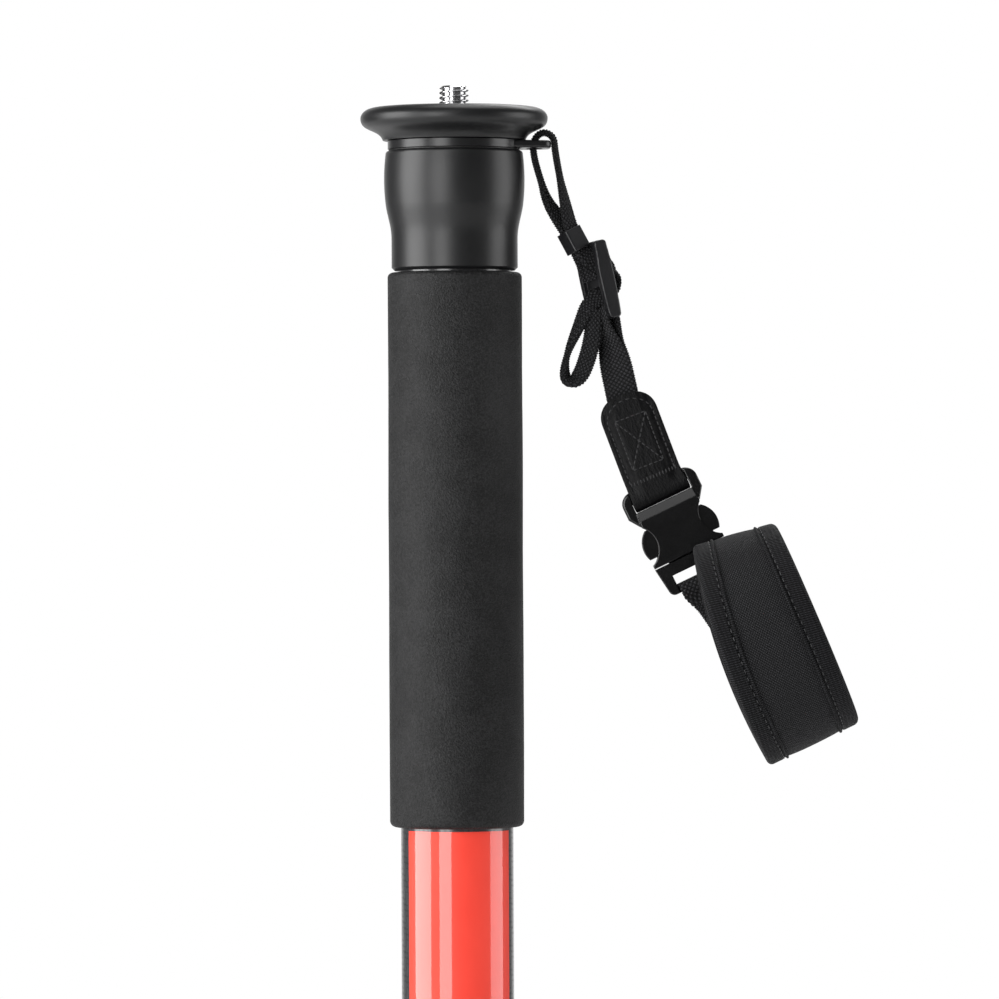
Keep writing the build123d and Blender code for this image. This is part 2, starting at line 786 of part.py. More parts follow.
# Buckle half with the slot and the side windows
viewer_axis = Axis(buckle_origin, TOWARD_VIEWER)
frame_top = buckle_slot + buckle_top_bar
with BuildPart() as buckle_female:
    with BuildSketch(buckle_plane):
        with BuildLine():
            Line((0, frame_top), (buckle_half_width - buckle_corner, frame_top))
            RadiusArc(
                (buckle_half_width - buckle_corner, frame_top),
                (buckle_half_width, frame_top - buckle_corner),
                buckle_corner,
            )
            Polyline(
                (buckle_half_width, frame_top - buckle_corner),
                (buckle_half_width, -buckle_frame_skirt),
                (buckle_shoulder_half_width, -buckle_shoulder),
                (0, -buckle_shoulder),
                (0, frame_top),
            )
        make_face()
        mirror(about=Plane.YZ)
        with Locations((0, buckle_slot / 2)):
            Rectangle(2 * buckle_slot_half_width, buckle_slot, mode=Mode.SUBTRACT)
    extrude(amount=buckle_frame_depth / 2, both=True)
    faces = buckle_female.faces().sort_by(viewer_axis)
    fillet(faces[0].outer_wire().edges() + faces[-1].outer_wire().edges(), buckle_round)
    for side in (1, -1):
        with BuildSketch(buckle_plane.offset(side * buckle_bar_depth / 2)):
            with Locations((0, (frame_top + buckle_slot + overrun) / 2)):
                Rectangle(2 * buckle_slot_half_width, buckle_top_bar + overrun)
        extrude(amount=side * buckle_depth, mode=Mode.SUBTRACT)
    with BuildSketch(buckle_plane):
        with BuildLine():
            Polyline(
                (0, 0),
                (buckle_slot_half_width, 0),
                (buckle_shoulder_half_width, -buckle_shoulder),
            )
            ThreePointArc(
                (buckle_shoulder_half_width, -buckle_shoulder),
                (buckle_waist_half_width, -buckle_waist),
                (buckle_mouth_half_width, -buckle_mouth_top),
            )
            Polyline(
                (buckle_mouth_half_width, -buckle_mouth_top),
                (buckle_mouth_half_width, -buckle_length),
                (0, -buckle_length),
                (0, 0),
            )
        make_face()
        mirror(about=Plane.YZ)
    extrude(amount=buckle_depth / 2, both=True)
    slot_edges = buckle_female.edges().filter_by(Axis(buckle_origin, strap_across))
    bevel_floor = (buckle_frame_depth + buckle_round) / 2
    bevel_edges = [
        edge
        for edge in slot_edges
        if abs((edge.center() - buckle_origin).dot(strap_up)) < overrun / 2
        and abs((edge.center() - buckle_origin).dot(TOWARD_VIEWER)) > bevel_floor
    ]
    chamfer(bevel_edges, buckle_bevel_drop, buckle_bevel)
    with BuildSketch(buckle_plane):
        with Locations((0, -(cavity_top + buckle_length + overrun) / 2)):
            Rectangle(2 * cavity_half_width, buckle_length + overrun - cavity_top)
    extrude(amount=cavity_depth / 2, both=True, mode=Mode.SUBTRACT)
save(buckle_female, "buckle_female")

# Buckle half on the wrist band's side: base, end bar and the tongue that guides it
male_top = -buckle_length - male_gap
male_bottom = male_top - male_length
inner_depth = cavity_depth - 2 * prong_gap
with BuildPart() as buckle_male:
    with BuildSketch(buckle_plane):
        with BuildLine():
            Polyline(
                (0, male_top),
                (buckle_mouth_half_width, male_top),
                (buckle_mouth_half_width, male_top - male_gap),
                (male_end_half_width, male_bottom),
                (0, male_bottom),
                (0, male_top),
            )
        make_face()
        mirror(about=Plane.YZ)
        with Locations((0, male_bottom + male_end_bar + male_slot / 2)):
            Rectangle(2 * male_slot_half_width, male_slot, mode=Mode.SUBTRACT)
    extrude(amount=buckle_frame_depth / 2, both=True)
    corners = buckle_male.edges().filter_by(Axis.Y).group_by(Axis(buckle_origin, strap_up))[0]
    fillet(corners, buckle_corner / 2)
    for side in (1, -1):
        with BuildSketch(buckle_plane.offset(side * buckle_bar_depth / 2)):
            with Locations((0, male_bottom + (male_end_bar - overrun) / 2)):
                Rectangle(2 * male_slot_half_width, male_end_bar + overrun)
        extrude(amount=side * buckle_depth, mode=Mode.SUBTRACT)
    with BuildSketch(buckle_plane):
        with Locations((0, (male_top - tongue_top) / 2)):
            Rectangle(2 * tongue_half_width, -tongue_top - male_top)
        with Locations((0, male_top + plug_reach / 2)):
            Rectangle(2 * plug_half_width, plug_reach)
    extrude(amount=inner_depth / 2, both=True)
save(buckle_male, "buckle_male")

# Spring prongs in the side windows, one to a side
prong_root = male_top + male_gap
for side, name in ((1, "buckle_prong_right"), (-1, "buckle_prong_left")):
    with BuildPart() as buckle_prong:
        with BuildSketch(buckle_plane):
            with BuildLine():
                Polyline(
                    (side * prong_root_inner, prong_root),
                    (side * prong_root_outer, prong_root),
                    (side * prong_root_outer, -prong_shoulder),
                    (side * prong_shoulder_outer, -prong_shoulder),
                )
                ThreePointArc(
                    (side * prong_shoulder_outer, -prong_shoulder),
                    (side * prong_pad_outer, -prong_pad),
                    (side * prong_tip_outer, -prong_tip),
                )
                Line((side * prong_tip_outer, -prong_tip), (side * prong_tip_inner, -prong_tip))
                ThreePointArc(
                    (side * prong_tip_inner, -prong_tip),
                    (side * prong_pad_inner, -prong_pad),
                    (side * prong_root_inner, prong_root),
                )
            make_face()
        extrude(amount=inner_depth / 2, both=True)
    save(buckle_prong, name)

# Wrist band: padded loop with a bound edge at each side
band_along, band_up = in_view(band_tilt)
band_centre = Vector(band_x, band_y, -band_drop)
pad_half_width = band_width / 2 - binding_width


def band_size(side):
    """Half depth and half height of the loop, which narrows along the arm."""
    share = side / band_width + 1 / 2
    return band_half_depth - band_depth_taper * share, band_half_height - band_height_taper * share


def band_ring(side, width, proud):
    """Oval ring of the loop, starting at a place along the arm."""
    with BuildPart() as ring:
        for growth, mode in ((proud, Mode.ADD), (-band_thickness, Mode.SUBTRACT)):
            for place in (side, side + width):
                half_depth, half_height = band_size(place)
                centre = band_centre + band_along * place
                with BuildSketch(Plane(centre, x_dir=TOWARD_VIEWER * -1, z_dir=band_along)):
                    Ellipse(half_depth + growth, half_height + growth)
            loft(mode=mode)
    return ring


save(band_ring(-pad_half_width, 2 * pad_half_width, 0), "wrist_band")
save(band_ring(-band_width / 2, binding_width, binding_proud), "band_binding_left")
save(band_ring(pad_half_width, binding_width, binding_proud), "band_binding_right")


def behind_band(side, height):
    """Centre of the tab where it lies behind the band, at a place along the arm and up the loop."""
    half_depth, half_height = band_size(side)
    back = half_depth * math.sqrt(1 - (height / half_height) ** 2)
    depth = back + binding_proud + tab_hidden_gap + tab_thickness / 2
    return band_centre + band_along * side + band_up * height - TOWARD_VIEWER * depth


# Band tab: webbing round the buckle's end bar, sewn to the back of the band
end_bar = buckle_origin + strap_up * (male_bottom + male_end_bar / 2)
tab_loop_height = male_end_bar + tab_thickness
tab_start = end_bar - strap_up * (tab_loop_height / 2 - overrun / 2)
tab_places = [
    (tab_start, strap_across, strap_up),
    (behind_band(-tab_middle_side, tab_middle_height), strap_across + band_along, strap_up + band_up),
    (behind_band(-tab_end_side, tab_end_height), band_along, band_up),
]
with BuildPart() as band_tab:
    with BuildSketch(Plane(end_bar, x_dir=TOWARD_VIEWER, z_dir=strap_across)):
        RectangleRounded(buckle_bar_depth + tab_thickness, tab_loop_height, tab_thickness / 2)
    extrude(amount=tab_width / 2, both=True)
    for centre, across, up in tab_places:
        with BuildSketch(Plane(centre, x_dir=across, z_dir=up)):
            Rectangle(tab_width, tab_thickness)
    loft()
    with BuildSketch(Plane(end_bar, x_dir=TOWARD_VIEWER, z_dir=strap_across)):
        Rectangle(buckle_bar_depth, male_end_bar)
    extrude(amount=tab_width, both=True, mode=Mode.SUBTRACT)
save(band_tab, "band_tab")
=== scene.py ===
import math

import bpy
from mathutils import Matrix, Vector, noise


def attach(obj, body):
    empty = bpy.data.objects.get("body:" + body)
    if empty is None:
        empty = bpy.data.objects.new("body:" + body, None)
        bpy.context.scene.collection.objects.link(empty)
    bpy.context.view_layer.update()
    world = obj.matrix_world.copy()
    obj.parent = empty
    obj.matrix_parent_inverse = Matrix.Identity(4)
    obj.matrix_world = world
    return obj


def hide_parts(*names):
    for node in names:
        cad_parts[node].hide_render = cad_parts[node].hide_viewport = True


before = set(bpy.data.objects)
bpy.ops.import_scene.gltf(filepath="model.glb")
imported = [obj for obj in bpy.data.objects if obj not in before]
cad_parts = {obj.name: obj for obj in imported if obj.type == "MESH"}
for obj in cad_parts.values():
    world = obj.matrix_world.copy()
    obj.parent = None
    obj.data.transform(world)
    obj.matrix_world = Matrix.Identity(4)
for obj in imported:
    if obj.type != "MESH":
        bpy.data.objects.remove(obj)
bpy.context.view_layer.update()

# Looks of a camera monopod with a foam grip and a wrist strap. Pieces are written in millimetres
# and become metres in piece(). Shaders in object space, the stage, the lamps and the camera are in
# metres.
MM = 0.001
TOWARD = Vector((0, -1, 0))  # towards the viewer


def in_view(tilt):
    """Directions across and up a strap piece that faces the viewer and leans by tilt degrees."""
    lean = math.radians(tilt)
    return Vector((math.cos(lean), 0, math.sin(lean))), Vector((-math.sin(lean), 0, math.cos(lean)))


def swung(start, towards, degrees):
    """Direction that leaves start for another one, square to it, by an angle in degrees."""
    angle = math.radians(degrees)
    return start * math.cos(angle) + towards * math.sin(angle)


def mix(a, b, share):
    return a + (b - a) * share


def smooth(low, high, value):
    """0 up to low, 1 from high on, and a soft step between them."""
    share = min(1.0, max(0.0, (value - low) / (high - low)))
    return share * share * (3 - 2 * share)


def rounded(value, power):
    """The value to a power, with its sign kept: powers under 1 square off an ellipse."""
    return math.copysign(abs(value) ** power, value)


def scaled(color, share):
    return [c * share for c in color]


# ---- shaders: node helpers

def shader(name, color, roughness, **sockets):
    """A Principled material with its constants on the shader's own sockets."""
    material = bpy.data.materials.new(name)
    material.use_nodes = True
    tree = material.node_tree
    bsdf = tree.nodes["Principled BSDF"]
    bsdf.inputs["Base Color"].default_value = (*color, 1)
    bsdf.inputs["Roughness"].default_value = roughness
    for socket, value in sockets.items():
        bsdf.inputs[socket.replace("_", " ")].default_value = value
    return material, tree, bsdf


def add(tree, kind, settings=None, **inputs):
    """A node with its settings, and its inputs given as values or as sockets to link.

    i0, i1 and so on name an input by its number.
    """
    node = tree.nodes.new(kind)
    for key, value in (settings or {}).items():
        setattr(node, key, value)
    for key, value in inputs.items():
        numbered = key[0] == "i" and key[1:].isdigit()
        socket = node.inputs[int(key[1:])] if numbered else node.inputs[key]
        if isinstance(value, bpy.types.NodeSocket):
            tree.links.new(value, socket)
        else:
            socket.default_value = value
    return node


def calc(tree, operation, first, second=0.0):
    return add(tree, "ShaderNodeMath", {"operation": operation}, i0=first, i1=second).outputs[0]


def weighted(tree, first, first_share, second, second_share):
    """Sum of two values, each times its share."""
    return calc(tree, "ADD", calc(tree, "MULTIPLY", first, first_share),
                calc(tree, "MULTIPLY", second, second_share))


def sine(tree, value, factor):
    return calc(tree, "SINE", calc(tree, "MULTIPLY", value, factor))


def coordinates(tree, kind):
    """Object space (metres) or the piece's own flat coordinates in millimetres."""
    if kind == "uv":
        return add(tree, "ShaderNodeUVMap", {"uv_map": "flat"}).outputs[0]
    return add(tree, "ShaderNodeTexCoord").outputs["Object"]


def axes(tree, vector):
    """The x, y and z of a vector."""
    return add(tree, "ShaderNodeSeparateXYZ", Vector=vector).outputs


def stretched(tree, flat, along):
    """Flat coordinates with the way along the piece scaled."""
    return add(tree, "ShaderNodeMapping", Vector=flat, Scale=(1.0, along, 1.0)).outputs[0]


def noise_of(tree, vector, scale, detail=3.0, rough=0.6):
    return add(
        tree, "ShaderNodeTexNoise", Vector=vector, Scale=scale, Detail=detail, Roughness=rough
    ).outputs[0]


def cells_of(tree, vector, scale):
    """Distance to the middle of the nearest cell."""
    return add(tree, "ShaderNodeTexVoronoi", Vector=vector, Scale=scale).outputs["Distance"]


def spread(tree, value, low, high, start=0.0, stop=1.0):
    """Maps start to stop onto low to high."""
    return add(
        tree, "ShaderNodeMapRange", i0=value, i1=start, i2=stop, i3=low, i4=high
    ).outputs[0]


def tint(tree, bsdf, value, dark, light):
    """Base colour that runs from dark to light with value."""
    blend = add(
        tree, "ShaderNodeMix", {"data_type": "RGBA"}, i0=value, i6=(*dark, 1), i7=(*light, 1)
    )
    tree.links.new(blend.outputs[2], bsdf.inputs["Base Color"])


def vary_roughness(tree, bsdf, value, low, high, start=0.0, stop=1.0):
    tree.links.new(spread(tree, value, low, high, start, stop), bsdf.inputs["Roughness"])


def relief(tree, bsdf, height, depth_mm, strength, edge_mm=0.0):
    """Surface relief, and with edge_mm the light that a rounded edge of that radius catches."""
    bump = add(tree, "ShaderNodeBump", Height=height, Strength=strength, Distance=depth_mm * MM)
    if edge_mm:
        edge = add(tree, "ShaderNodeBevel", {"samples": 8}, Radius=edge_mm * MM)
        tree.links.new(edge.outputs[0], bump.inputs["Normal"])
    tree.links.new(bump.outputs[0], bsdf.inputs["Normal"])


# ---- shaders: materials. Noise scales are per metre in object space and per millimetre in flat
# coordinates.

def anodised(name, color, roughness, edge_mm=0.0):
    material, tree, bsdf = shader(name, color, roughness, Specular_IOR_Level=0.4)
    place = coordinates(tree, "object")
    fine = noise_of(tree, place, 9000.0, 2.0)
    broad = noise_of(tree, place, 160.0)
    vary_roughness(tree, bsdf, broad, roughness - 0.03, roughness + 0.04)
    tint(tree, bsdf, broad, scaled(color, 0.85), scaled(color, 1.15))
    relief(tree, bsdf, fine, 0.012, 0.35, edge_mm)
    return material


def turned_steel():
    """Steel with the fine rings of turning."""
    material, tree, bsdf = shader("steel", (0.66, 0.66, 0.67), 0.2, Metallic=1.0)
    height = axes(tree, coordinates(tree, "object"))[2]
    rings = noise_of(tree, add(tree, "ShaderNodeCombineXYZ", Z=height).outputs[0], 14000.0, 2.0)
    vary_roughness(tree, bsdf, rings, 0.07, 0.18)
    relief(tree, bsdf, rings, 0.01, 0.4)
    return material


def foam_material():
    material, tree, bsdf = shader("foam", (0.011, 0.011, 0.0115), 0.6, Specular_IOR_Level=0.27)
    place = coordinates(tree, "object")
    cells = cells_of(tree, place, 1900.0)
    grains = noise_of(tree, place, 1500.0, 2.0, 0.7)
    patches = noise_of(tree, place, 90.0)
    shade = spread(tree, weighted(tree, grains, 0.75, patches, 0.25), 0.0, 1.0, 0.42, 0.62)
    tint(tree, bsdf, shade, (0.0004, 0.0004, 0.0005), (0.016, 0.016, 0.0165))
    vary_roughness(tree, bsdf, grains, 0.5, 0.74)
    relief(tree, bsdf, calc(tree, "ADD", cells, grains), 0.22, 0.8)
    return material


def carbon_material():
    """Two by two twill of carbon tows under a clear coat, wrapped round the tube."""
    tows_round, tow_width, repeat, last_over = 60, 0.0019, 4.0, 1.5
    material, tree, bsdf = shader("carbon", (0.014, 0.0145, 0.016), 0.42, Coat_Weight=0.7,
                                  Coat_Roughness=0.14)
    x, y, z = axes(tree, coordinates(tree, "object"))
    around = calc(tree, "MULTIPLY", calc(tree, "ARCTAN2", y, x), tows_round / (2 * math.pi))
    along = calc(tree, "DIVIDE", z, tow_width)
    crossing = calc(tree, "ADD", calc(tree, "FLOOR", around), calc(tree, "FLOOR", along))
    over = calc(tree, "LESS_THAN", calc(tree, "FLOORED_MODULO", crossing, repeat), last_over)
    crown_around = sine(tree, calc(tree, "FRACT", around), math.pi)
    crown_along = sine(tree, calc(tree, "FRACT", along), math.pi)
    crown = weighted(tree, crown_around, over, crown_along, calc(tree, "SUBTRACT", 1.0, over))
    # Base colour lighter on the tows' crowns, a painted highlight, and darkest at their edges, a
    # painted shade; the tows that run under are painted a step darker.
    tint(tree, bsdf, calc(tree, "MULTIPLY", crown, spread(tree, over, 0.55, 1.0)),
         (0.006, 0.006, 0.0065), (0.03, 0.031, 0.034))
    vary_roughness(tree, bsdf, crown, 0.5, 0.3)
    relief(tree, bsdf, crown, 0.03, 0.5)
    return material


def label_material():
    """Plain red under a glossy film that is not quite flat."""
    material, tree, bsdf = shader("label_red", (0.86, 0.05, 0.03), 0.4, Specular_IOR_Level=0.2,
                                  Coat_Weight=1.0, Coat_Roughness=0.03, Coat_IOR=1.5)
    place = coordinates(tree, "object")
    tint(tree, bsdf, noise_of(tree, place, 60.0, 2.0), (0.82, 0.05, 0.03), (0.87, 0.064, 0.04))
    relief(tree, bsdf, noise_of(tree, place, 240.0, 2.0), 0.03, 0.12)
    return material


def rubber_material(name, shade):
    color = (shade,) * 3
    material, tree, bsdf = shader(name, color, 0.72, Specular_IOR_Level=0.3)
    place = coordinates(tree, "object")
    grain = noise_of(tree, place, 2200.0)
    dust = noise_of(tree, place, 130.0, 4.0)
    tint(tree, bsdf, dust, scaled(color, 0.7), scaled(color, 1.5))
    vary_roughness(tree, bsdf, grain, 0.6, 0.85)
    relief(tree, bsdf, grain, 0.04, 0.5)
    return material


def plastic_material(name, color, roughness, grain_mm):
    material, tree, bsdf = shader(name, color, roughness, Specular_IOR_Level=0.5)
    place = coordinates(tree, "object")
    grain = noise_of(tree, place, 3800.0, 2.0)
    broad = noise_of(tree, place, 220.0)
    tint(tree, bsdf, broad, scaled(color, 0.8), scaled(color, 1.25))
    vary_roughness(tree, bsdf, broad, roughness - 0.05, roughness + 0.07)
    relief(tree, bsdf, grain, grain_mm, 0.5, 0.6)
    return material


def diamonds(tree, flat, along_mm, across_mm):
    """Crossing yarns of a braid in flat coordinates: 0 in the gaps and 1 on the crowns."""
    x, y = axes(tree, flat)[:2]
    across = calc(tree, "MULTIPLY", x, math.pi / across_mm)
    along = calc(tree, "MULTIPLY", y, math.pi / along_mm)
    first = calc(tree, "SINE", calc(tree, "ADD", along, across))
    second = calc(tree, "SINE", calc(tree, "SUBTRACT", along, across))
    return calc(tree, "ABSOLUTE", calc(tree, "MULTIPLY", first, second))


def ribs(tree, flat, along_mm, across_mm):
    """Ribs across a tape, each made of short slanting yarns."""
    x, y = axes(tree, flat)[:2]
    slant = calc(tree, "SINE", weighted(tree, y, 2 * math.pi / along_mm, x, 0.9))
    yarn = sine(tree, x, 2 * math.pi / across_mm)
    wave = calc(tree, "ADD", slant, calc(tree, "MULTIPLY", yarn, 0.35))
    return spread(tree, wave, 0.0, 1.0, -0.5, 1.3)


def yarn_material(name, color, pattern, size, depth_mm, light=11.0):
    """Black yarn cloth: painted shade in the gaps, painted highlights on the crowns and fine
    fibres, in flat coordinates.
    """
    material, tree, bsdf = shader(name, color, 0.7, Specular_IOR_Level=0.12, Sheen_Weight=0.03,
                                  Sheen_Roughness=0.35)
    flat = coordinates(tree, "uv")
    crowns = pattern(tree, flat, *size)
    fibre = noise_of(tree, stretched(tree, flat, 2.2), 2.4, 5.0, 0.8)
    # The fibres' brightest specks are painted glints.
    painted_glints = spread(tree, fibre, 0.0, 1.0, 0.42, 0.64)
    painted_weave_light = calc(tree, "MULTIPLY", crowns, calc(tree, "ADD", 0.15, painted_glints))
    # Base colour from the gaps, a painted shade, to the crowns, a painted highlight; light sets how
    # bright the crowns are painted.
    tint(tree, bsdf, painted_weave_light, scaled(color, 0.25), scaled(color, light))
    vary_roughness(tree, bsdf, fibre, 0.5, 0.85)
    height = calc(tree, "ADD", crowns, calc(tree, "MULTIPLY", fibre, 0.5))
    relief(tree, bsdf, height, depth_mm, 0.8)
    return material


def leather_material():
    """Black leather with pores, and creases along the tab."""
    material, tree, bsdf = shader("leather", (0.004, 0.004, 0.0043), 0.4, Specular_IOR_Level=0.13)
    flat = coordinates(tree, "uv")
    pores = cells_of(tree, flat, 2.2)
    fibre = noise_of(tree, flat, 4.0, 4.0, 0.65)
    creases = noise_of(tree, stretched(tree, flat, 0.28), 1.1)
    tint(tree, bsdf, fibre, (0.0008, 0.0008, 0.0009), (0.0036, 0.0036, 0.004))
    vary_roughness(tree, bsdf, calc(tree, "ADD", fibre, creases), 0.3, 0.62, 0.7, 1.4)
    relief(tree, bsdf, weighted(tree, pores, 0.35, creases, 1.4), 0.24, 0.75)
    return material


def thread_material():
    material, tree, bsdf = shader("thread", (0.012, 0.012, 0.013), 0.5, Sheen_Weight=0.06)
    twist = noise_of(tree, coordinates(tree, "object"), 4200.0, 2.0)
    tint(tree, bsdf, twist, (0.005, 0.005, 0.0055), (0.026, 0.026, 0.028))
    relief(tree, bsdf, twist, 0.05, 0.6)
    return material


# Length and width of a diamond of the braids, for their shapes and their shaders
CORD_YARNS, WEBBING_YARNS = (1.55, 1.25), (1.5, 1.65)

METAL = anodised("anodised_black", (0.006, 0.0061, 0.0065), 0.37)
RING_METAL = anodised("ring_black", (0.008, 0.008, 0.0085), 0.28)
STEEL = turned_steel()
FOAM = foam_material()
CARBON = carbon_material()
LABEL = label_material()
GRIP = rubber_material("grip_rubber", 0.009)
FOOT = rubber_material("foot_rubber", 0.008)
PAD = rubber_material("pad_rubber", 0.009)
ACETAL = plastic_material("buckle_acetal", (0.002, 0.002, 0.0022), 0.15, 0.005)
WASHER = plastic_material("washer_nylon", (0.008, 0.008, 0.008), 0.45, 0.02)
SHIM = plastic_material("shim_acetal", (0.55, 0.54, 0.5), 0.4, 0.02)
KEEPER = anodised("keeper_black", (0.01, 0.01, 0.011), 0.3, 0.45)
# The yarn cloths have painted shade in their gaps and painted highlights on their crowns.
CORD = yarn_material("cord_yarn", (0.006, 0.006, 0.0064), diamonds, CORD_YARNS, 0.25)
WEBBING = yarn_material("webbing_yarn", (0.006, 0.006, 0.0064), diamonds, WEBBING_YARNS, 0.25)
KNIT = yarn_material("band_knit", (0.005, 0.005, 0.0054), diamonds, (1.1, 0.9), 0.2)
BINDING = yarn_material("binding_tape", (0.0045, 0.0045, 0.005), ribs, (0.74, 1.3), 0.26, light=9.0)
LEATHER = leather_material()
THREAD = thread_material()

# Materials of the CAD nodes that stay in view
CAD_LOOKS = {
    "platform_disc": METAL, "screw_retainer": STEEL, "strap_ring": RING_METAL,
    "swivel_washer": WASHER, "collar": METAL, "upper_tube": CARBON, "foot_plug": METAL,
    "foot_stud": STEEL, "rubber_foot": FOOT, "cord_keeper": KEEPER, "cord_slider": KEEPER,
    "buckle_female": ACETAL, "buckle_male": ACETAL, "buckle_prong_right": ACETAL,
    "buckle_prong_left": ACETAL,
}
for number in (2, 3, 4, 5):
    CAD_LOOKS[f"tube_{number}"] = CARBON
    CAD_LOOKS[f"guide_shims_{number}"] = SHIM
for number in (1, 2, 3, 4):
    CAD_LOOKS[f"lock_ferrule_{number}"] = METAL
    CAD_LOOKS[f"lock_collet_{number}"] = SHIM
    CAD_LOOKS[f"lock_nut_{number}"] = METAL
    CAD_LOOKS[f"lock_grip_{number}"] = GRIP
for node, look in CAD_LOOKS.items():
    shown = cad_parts[node]
    if not shown.material_slots:
        shown.data.materials.append(look)
    for slot in shown.material_slots:
        slot.link = "OBJECT"
        slot.material = look


# ---- mesh helpers

def piece(name, points, faces, material, body, replaces=(), flat=None, sharp=40.0):
    """A mesh piece from points in millimetres; flat gives each point's own flat coordinates."""
    mesh = bpy.data.meshes.new(name)
    mesh.from_pydata([Vector(p) * MM for p in points], [], faces)
    if flat:
        layer = mesh.uv_layers.new(name="flat")
        for loop in mesh.loops:
            layer.data[loop.index].uv = flat[loop.vertex_index]
    mesh.validate()
    for polygon in mesh.polygons:
        polygon.use_smooth = True
    mesh.set_sharp_from_angle(angle=math.radians(sharp))
    mesh.materials.append(material)
    shown = bpy.data.objects.new(name, mesh)
    bpy.context.collection.objects.link(shown)
    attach(shown, body)
    if replaces:
        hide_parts(*replaces)
    return shown


def quads(rows, columns, close_rows=False, base=0):
    """Faces between rings of points, stored ring after ring."""
    faces = []
    for row in range(rows if close_rows else rows - 1):
        here, ahead = base + row * columns, base + (row + 1) % rows * columns
        for column in range(columns):
            after = (column + 1) % columns
            faces.append((here + column, here + after, ahead + after, ahead + column))
    return faces


def capped(rows, columns, base=0):
    """The same faces, with one more over each end."""
    last = base + (rows - 1) * columns
    return quads(rows, columns, base=base) + [
        tuple(base + column for column in range(columns))[::-1],
        tuple(last + column for column in range(columns)),
    ]


def turned(profile, steps, base=0):
    """Points and faces of a closed profile of (radius, height) turned about the column's axis."""
    points = []
    for radius, height in profile:
        for step in range(steps):
            angle = 2 * math.pi * step / steps
            points.append((radius * math.cos(angle), radius * math.sin(angle), height))
    return points, [face[::-1] for face in quads(len(profile), steps, close_rows=True, base=base)]


def arc(centre, radius, start, stop, steps):
    """Points of a profile's arc, angles in degrees."""
    angles = [math.radians(mix(start, stop, i / steps)) for i in range(steps + 1)]
    return [(centre[0] + radius * math.cos(a), centre[1] + radius * math.sin(a)) for a in angles]


MEAN_DIAMOND = 0.45  # taken off the diamonds, so that they leave a strip's thickness as it is


def diamond(x, along, size):
    """Height of a braid's surface as in the shader's diamonds(): 0 in the gaps, 1 on the crowns."""
    first = math.sin(math.pi * (along / size[0] + x / size[1]))
    second = math.sin(math.pi * (along / size[0] - x / size[1]))
    return abs(first * second)


# Power that squares off a strip's thickness, and powers that fade its bumps away from its edges and
# from the middle of its faces
FACE_POWER, EDGE_FADE, FACE_FADE = 0.8, 6, 0.3


def strip(name, centres, widths, size, material, replaces, bumps, ring, edge=0.55):
    """A flat strip of the strap along centres, its width along widths; size is (width, thickness).

    Its section is an ellipse of ring points, squared off by edge. bumps(x, along, side) lifts its
    surface, with side from -1 on the back to 1 on the front.
    """
    half_width, half_thickness = size[0] / 2, size[1] / 2
    back_shift = 2 * size[0]
    points, flat, travelled = [], [], 0.0
    for row, centre in enumerate(centres):
        before, after = centres[max(row - 1, 0)], centres[min(row + 1, len(centres) - 1)]
        along = (after - before).normalized()
        across = (widths[row] - along * widths[row].dot(along)).normalized()
        outward = along.cross(across)
        travelled += (centre - before).length
        for column in range(ring):
            angle = 2 * math.pi * column / ring
            x = half_width * rounded(math.cos(angle), edge)
            y = half_thickness * rounded(math.sin(angle), FACE_POWER)
            lift = bumps(x, travelled, math.sin(angle))
            x += math.copysign(lift, x) * abs(math.cos(angle)) ** EDGE_FADE
            y += math.copysign(lift, y) * abs(math.sin(angle)) ** FACE_FADE
            points.append(centre + across * x + outward * y)
            flat.append((x + (0 if y > 0 else back_shift), travelled))
    return piece(name, points, capped(len(centres), ring), material, "strap", replaces,
                 flat=flat, sharp=60.0)


def stitches(name, places, length):
    """Sewn stitches at (point, along, outward) places, each dipping into the cloth at its ends."""
    radius, end_girth, dip_share, rings, sides = 0.2, 0.05, 0.9, 7, 8
    points, faces = [], []
    for point, along, outward in places:
        side = along.cross(outward).normalized()
        base = len(points)
        for i in range(rings):
            share = i / (rings - 1)
            angle = math.pi * share
            reach = -math.cos(angle) * length / 2
            girth = radius * (math.sin(angle) ** 0.5 if 0 < i < rings - 1 else end_girth)
            dip = -radius * dip_share * (2 * share - 1) ** 2
            for j in range(sides):
                turn = 2 * math.pi * j / sides
                points.append(point + along * reach + outward * (dip + girth * math.sin(turn))
                              + side * girth * math.cos(turn))
        faces += capped(rings, sides, base)
    return piece(name, points, faces, THREAD, "strap")


# ---- head: screw, pad, foam, film

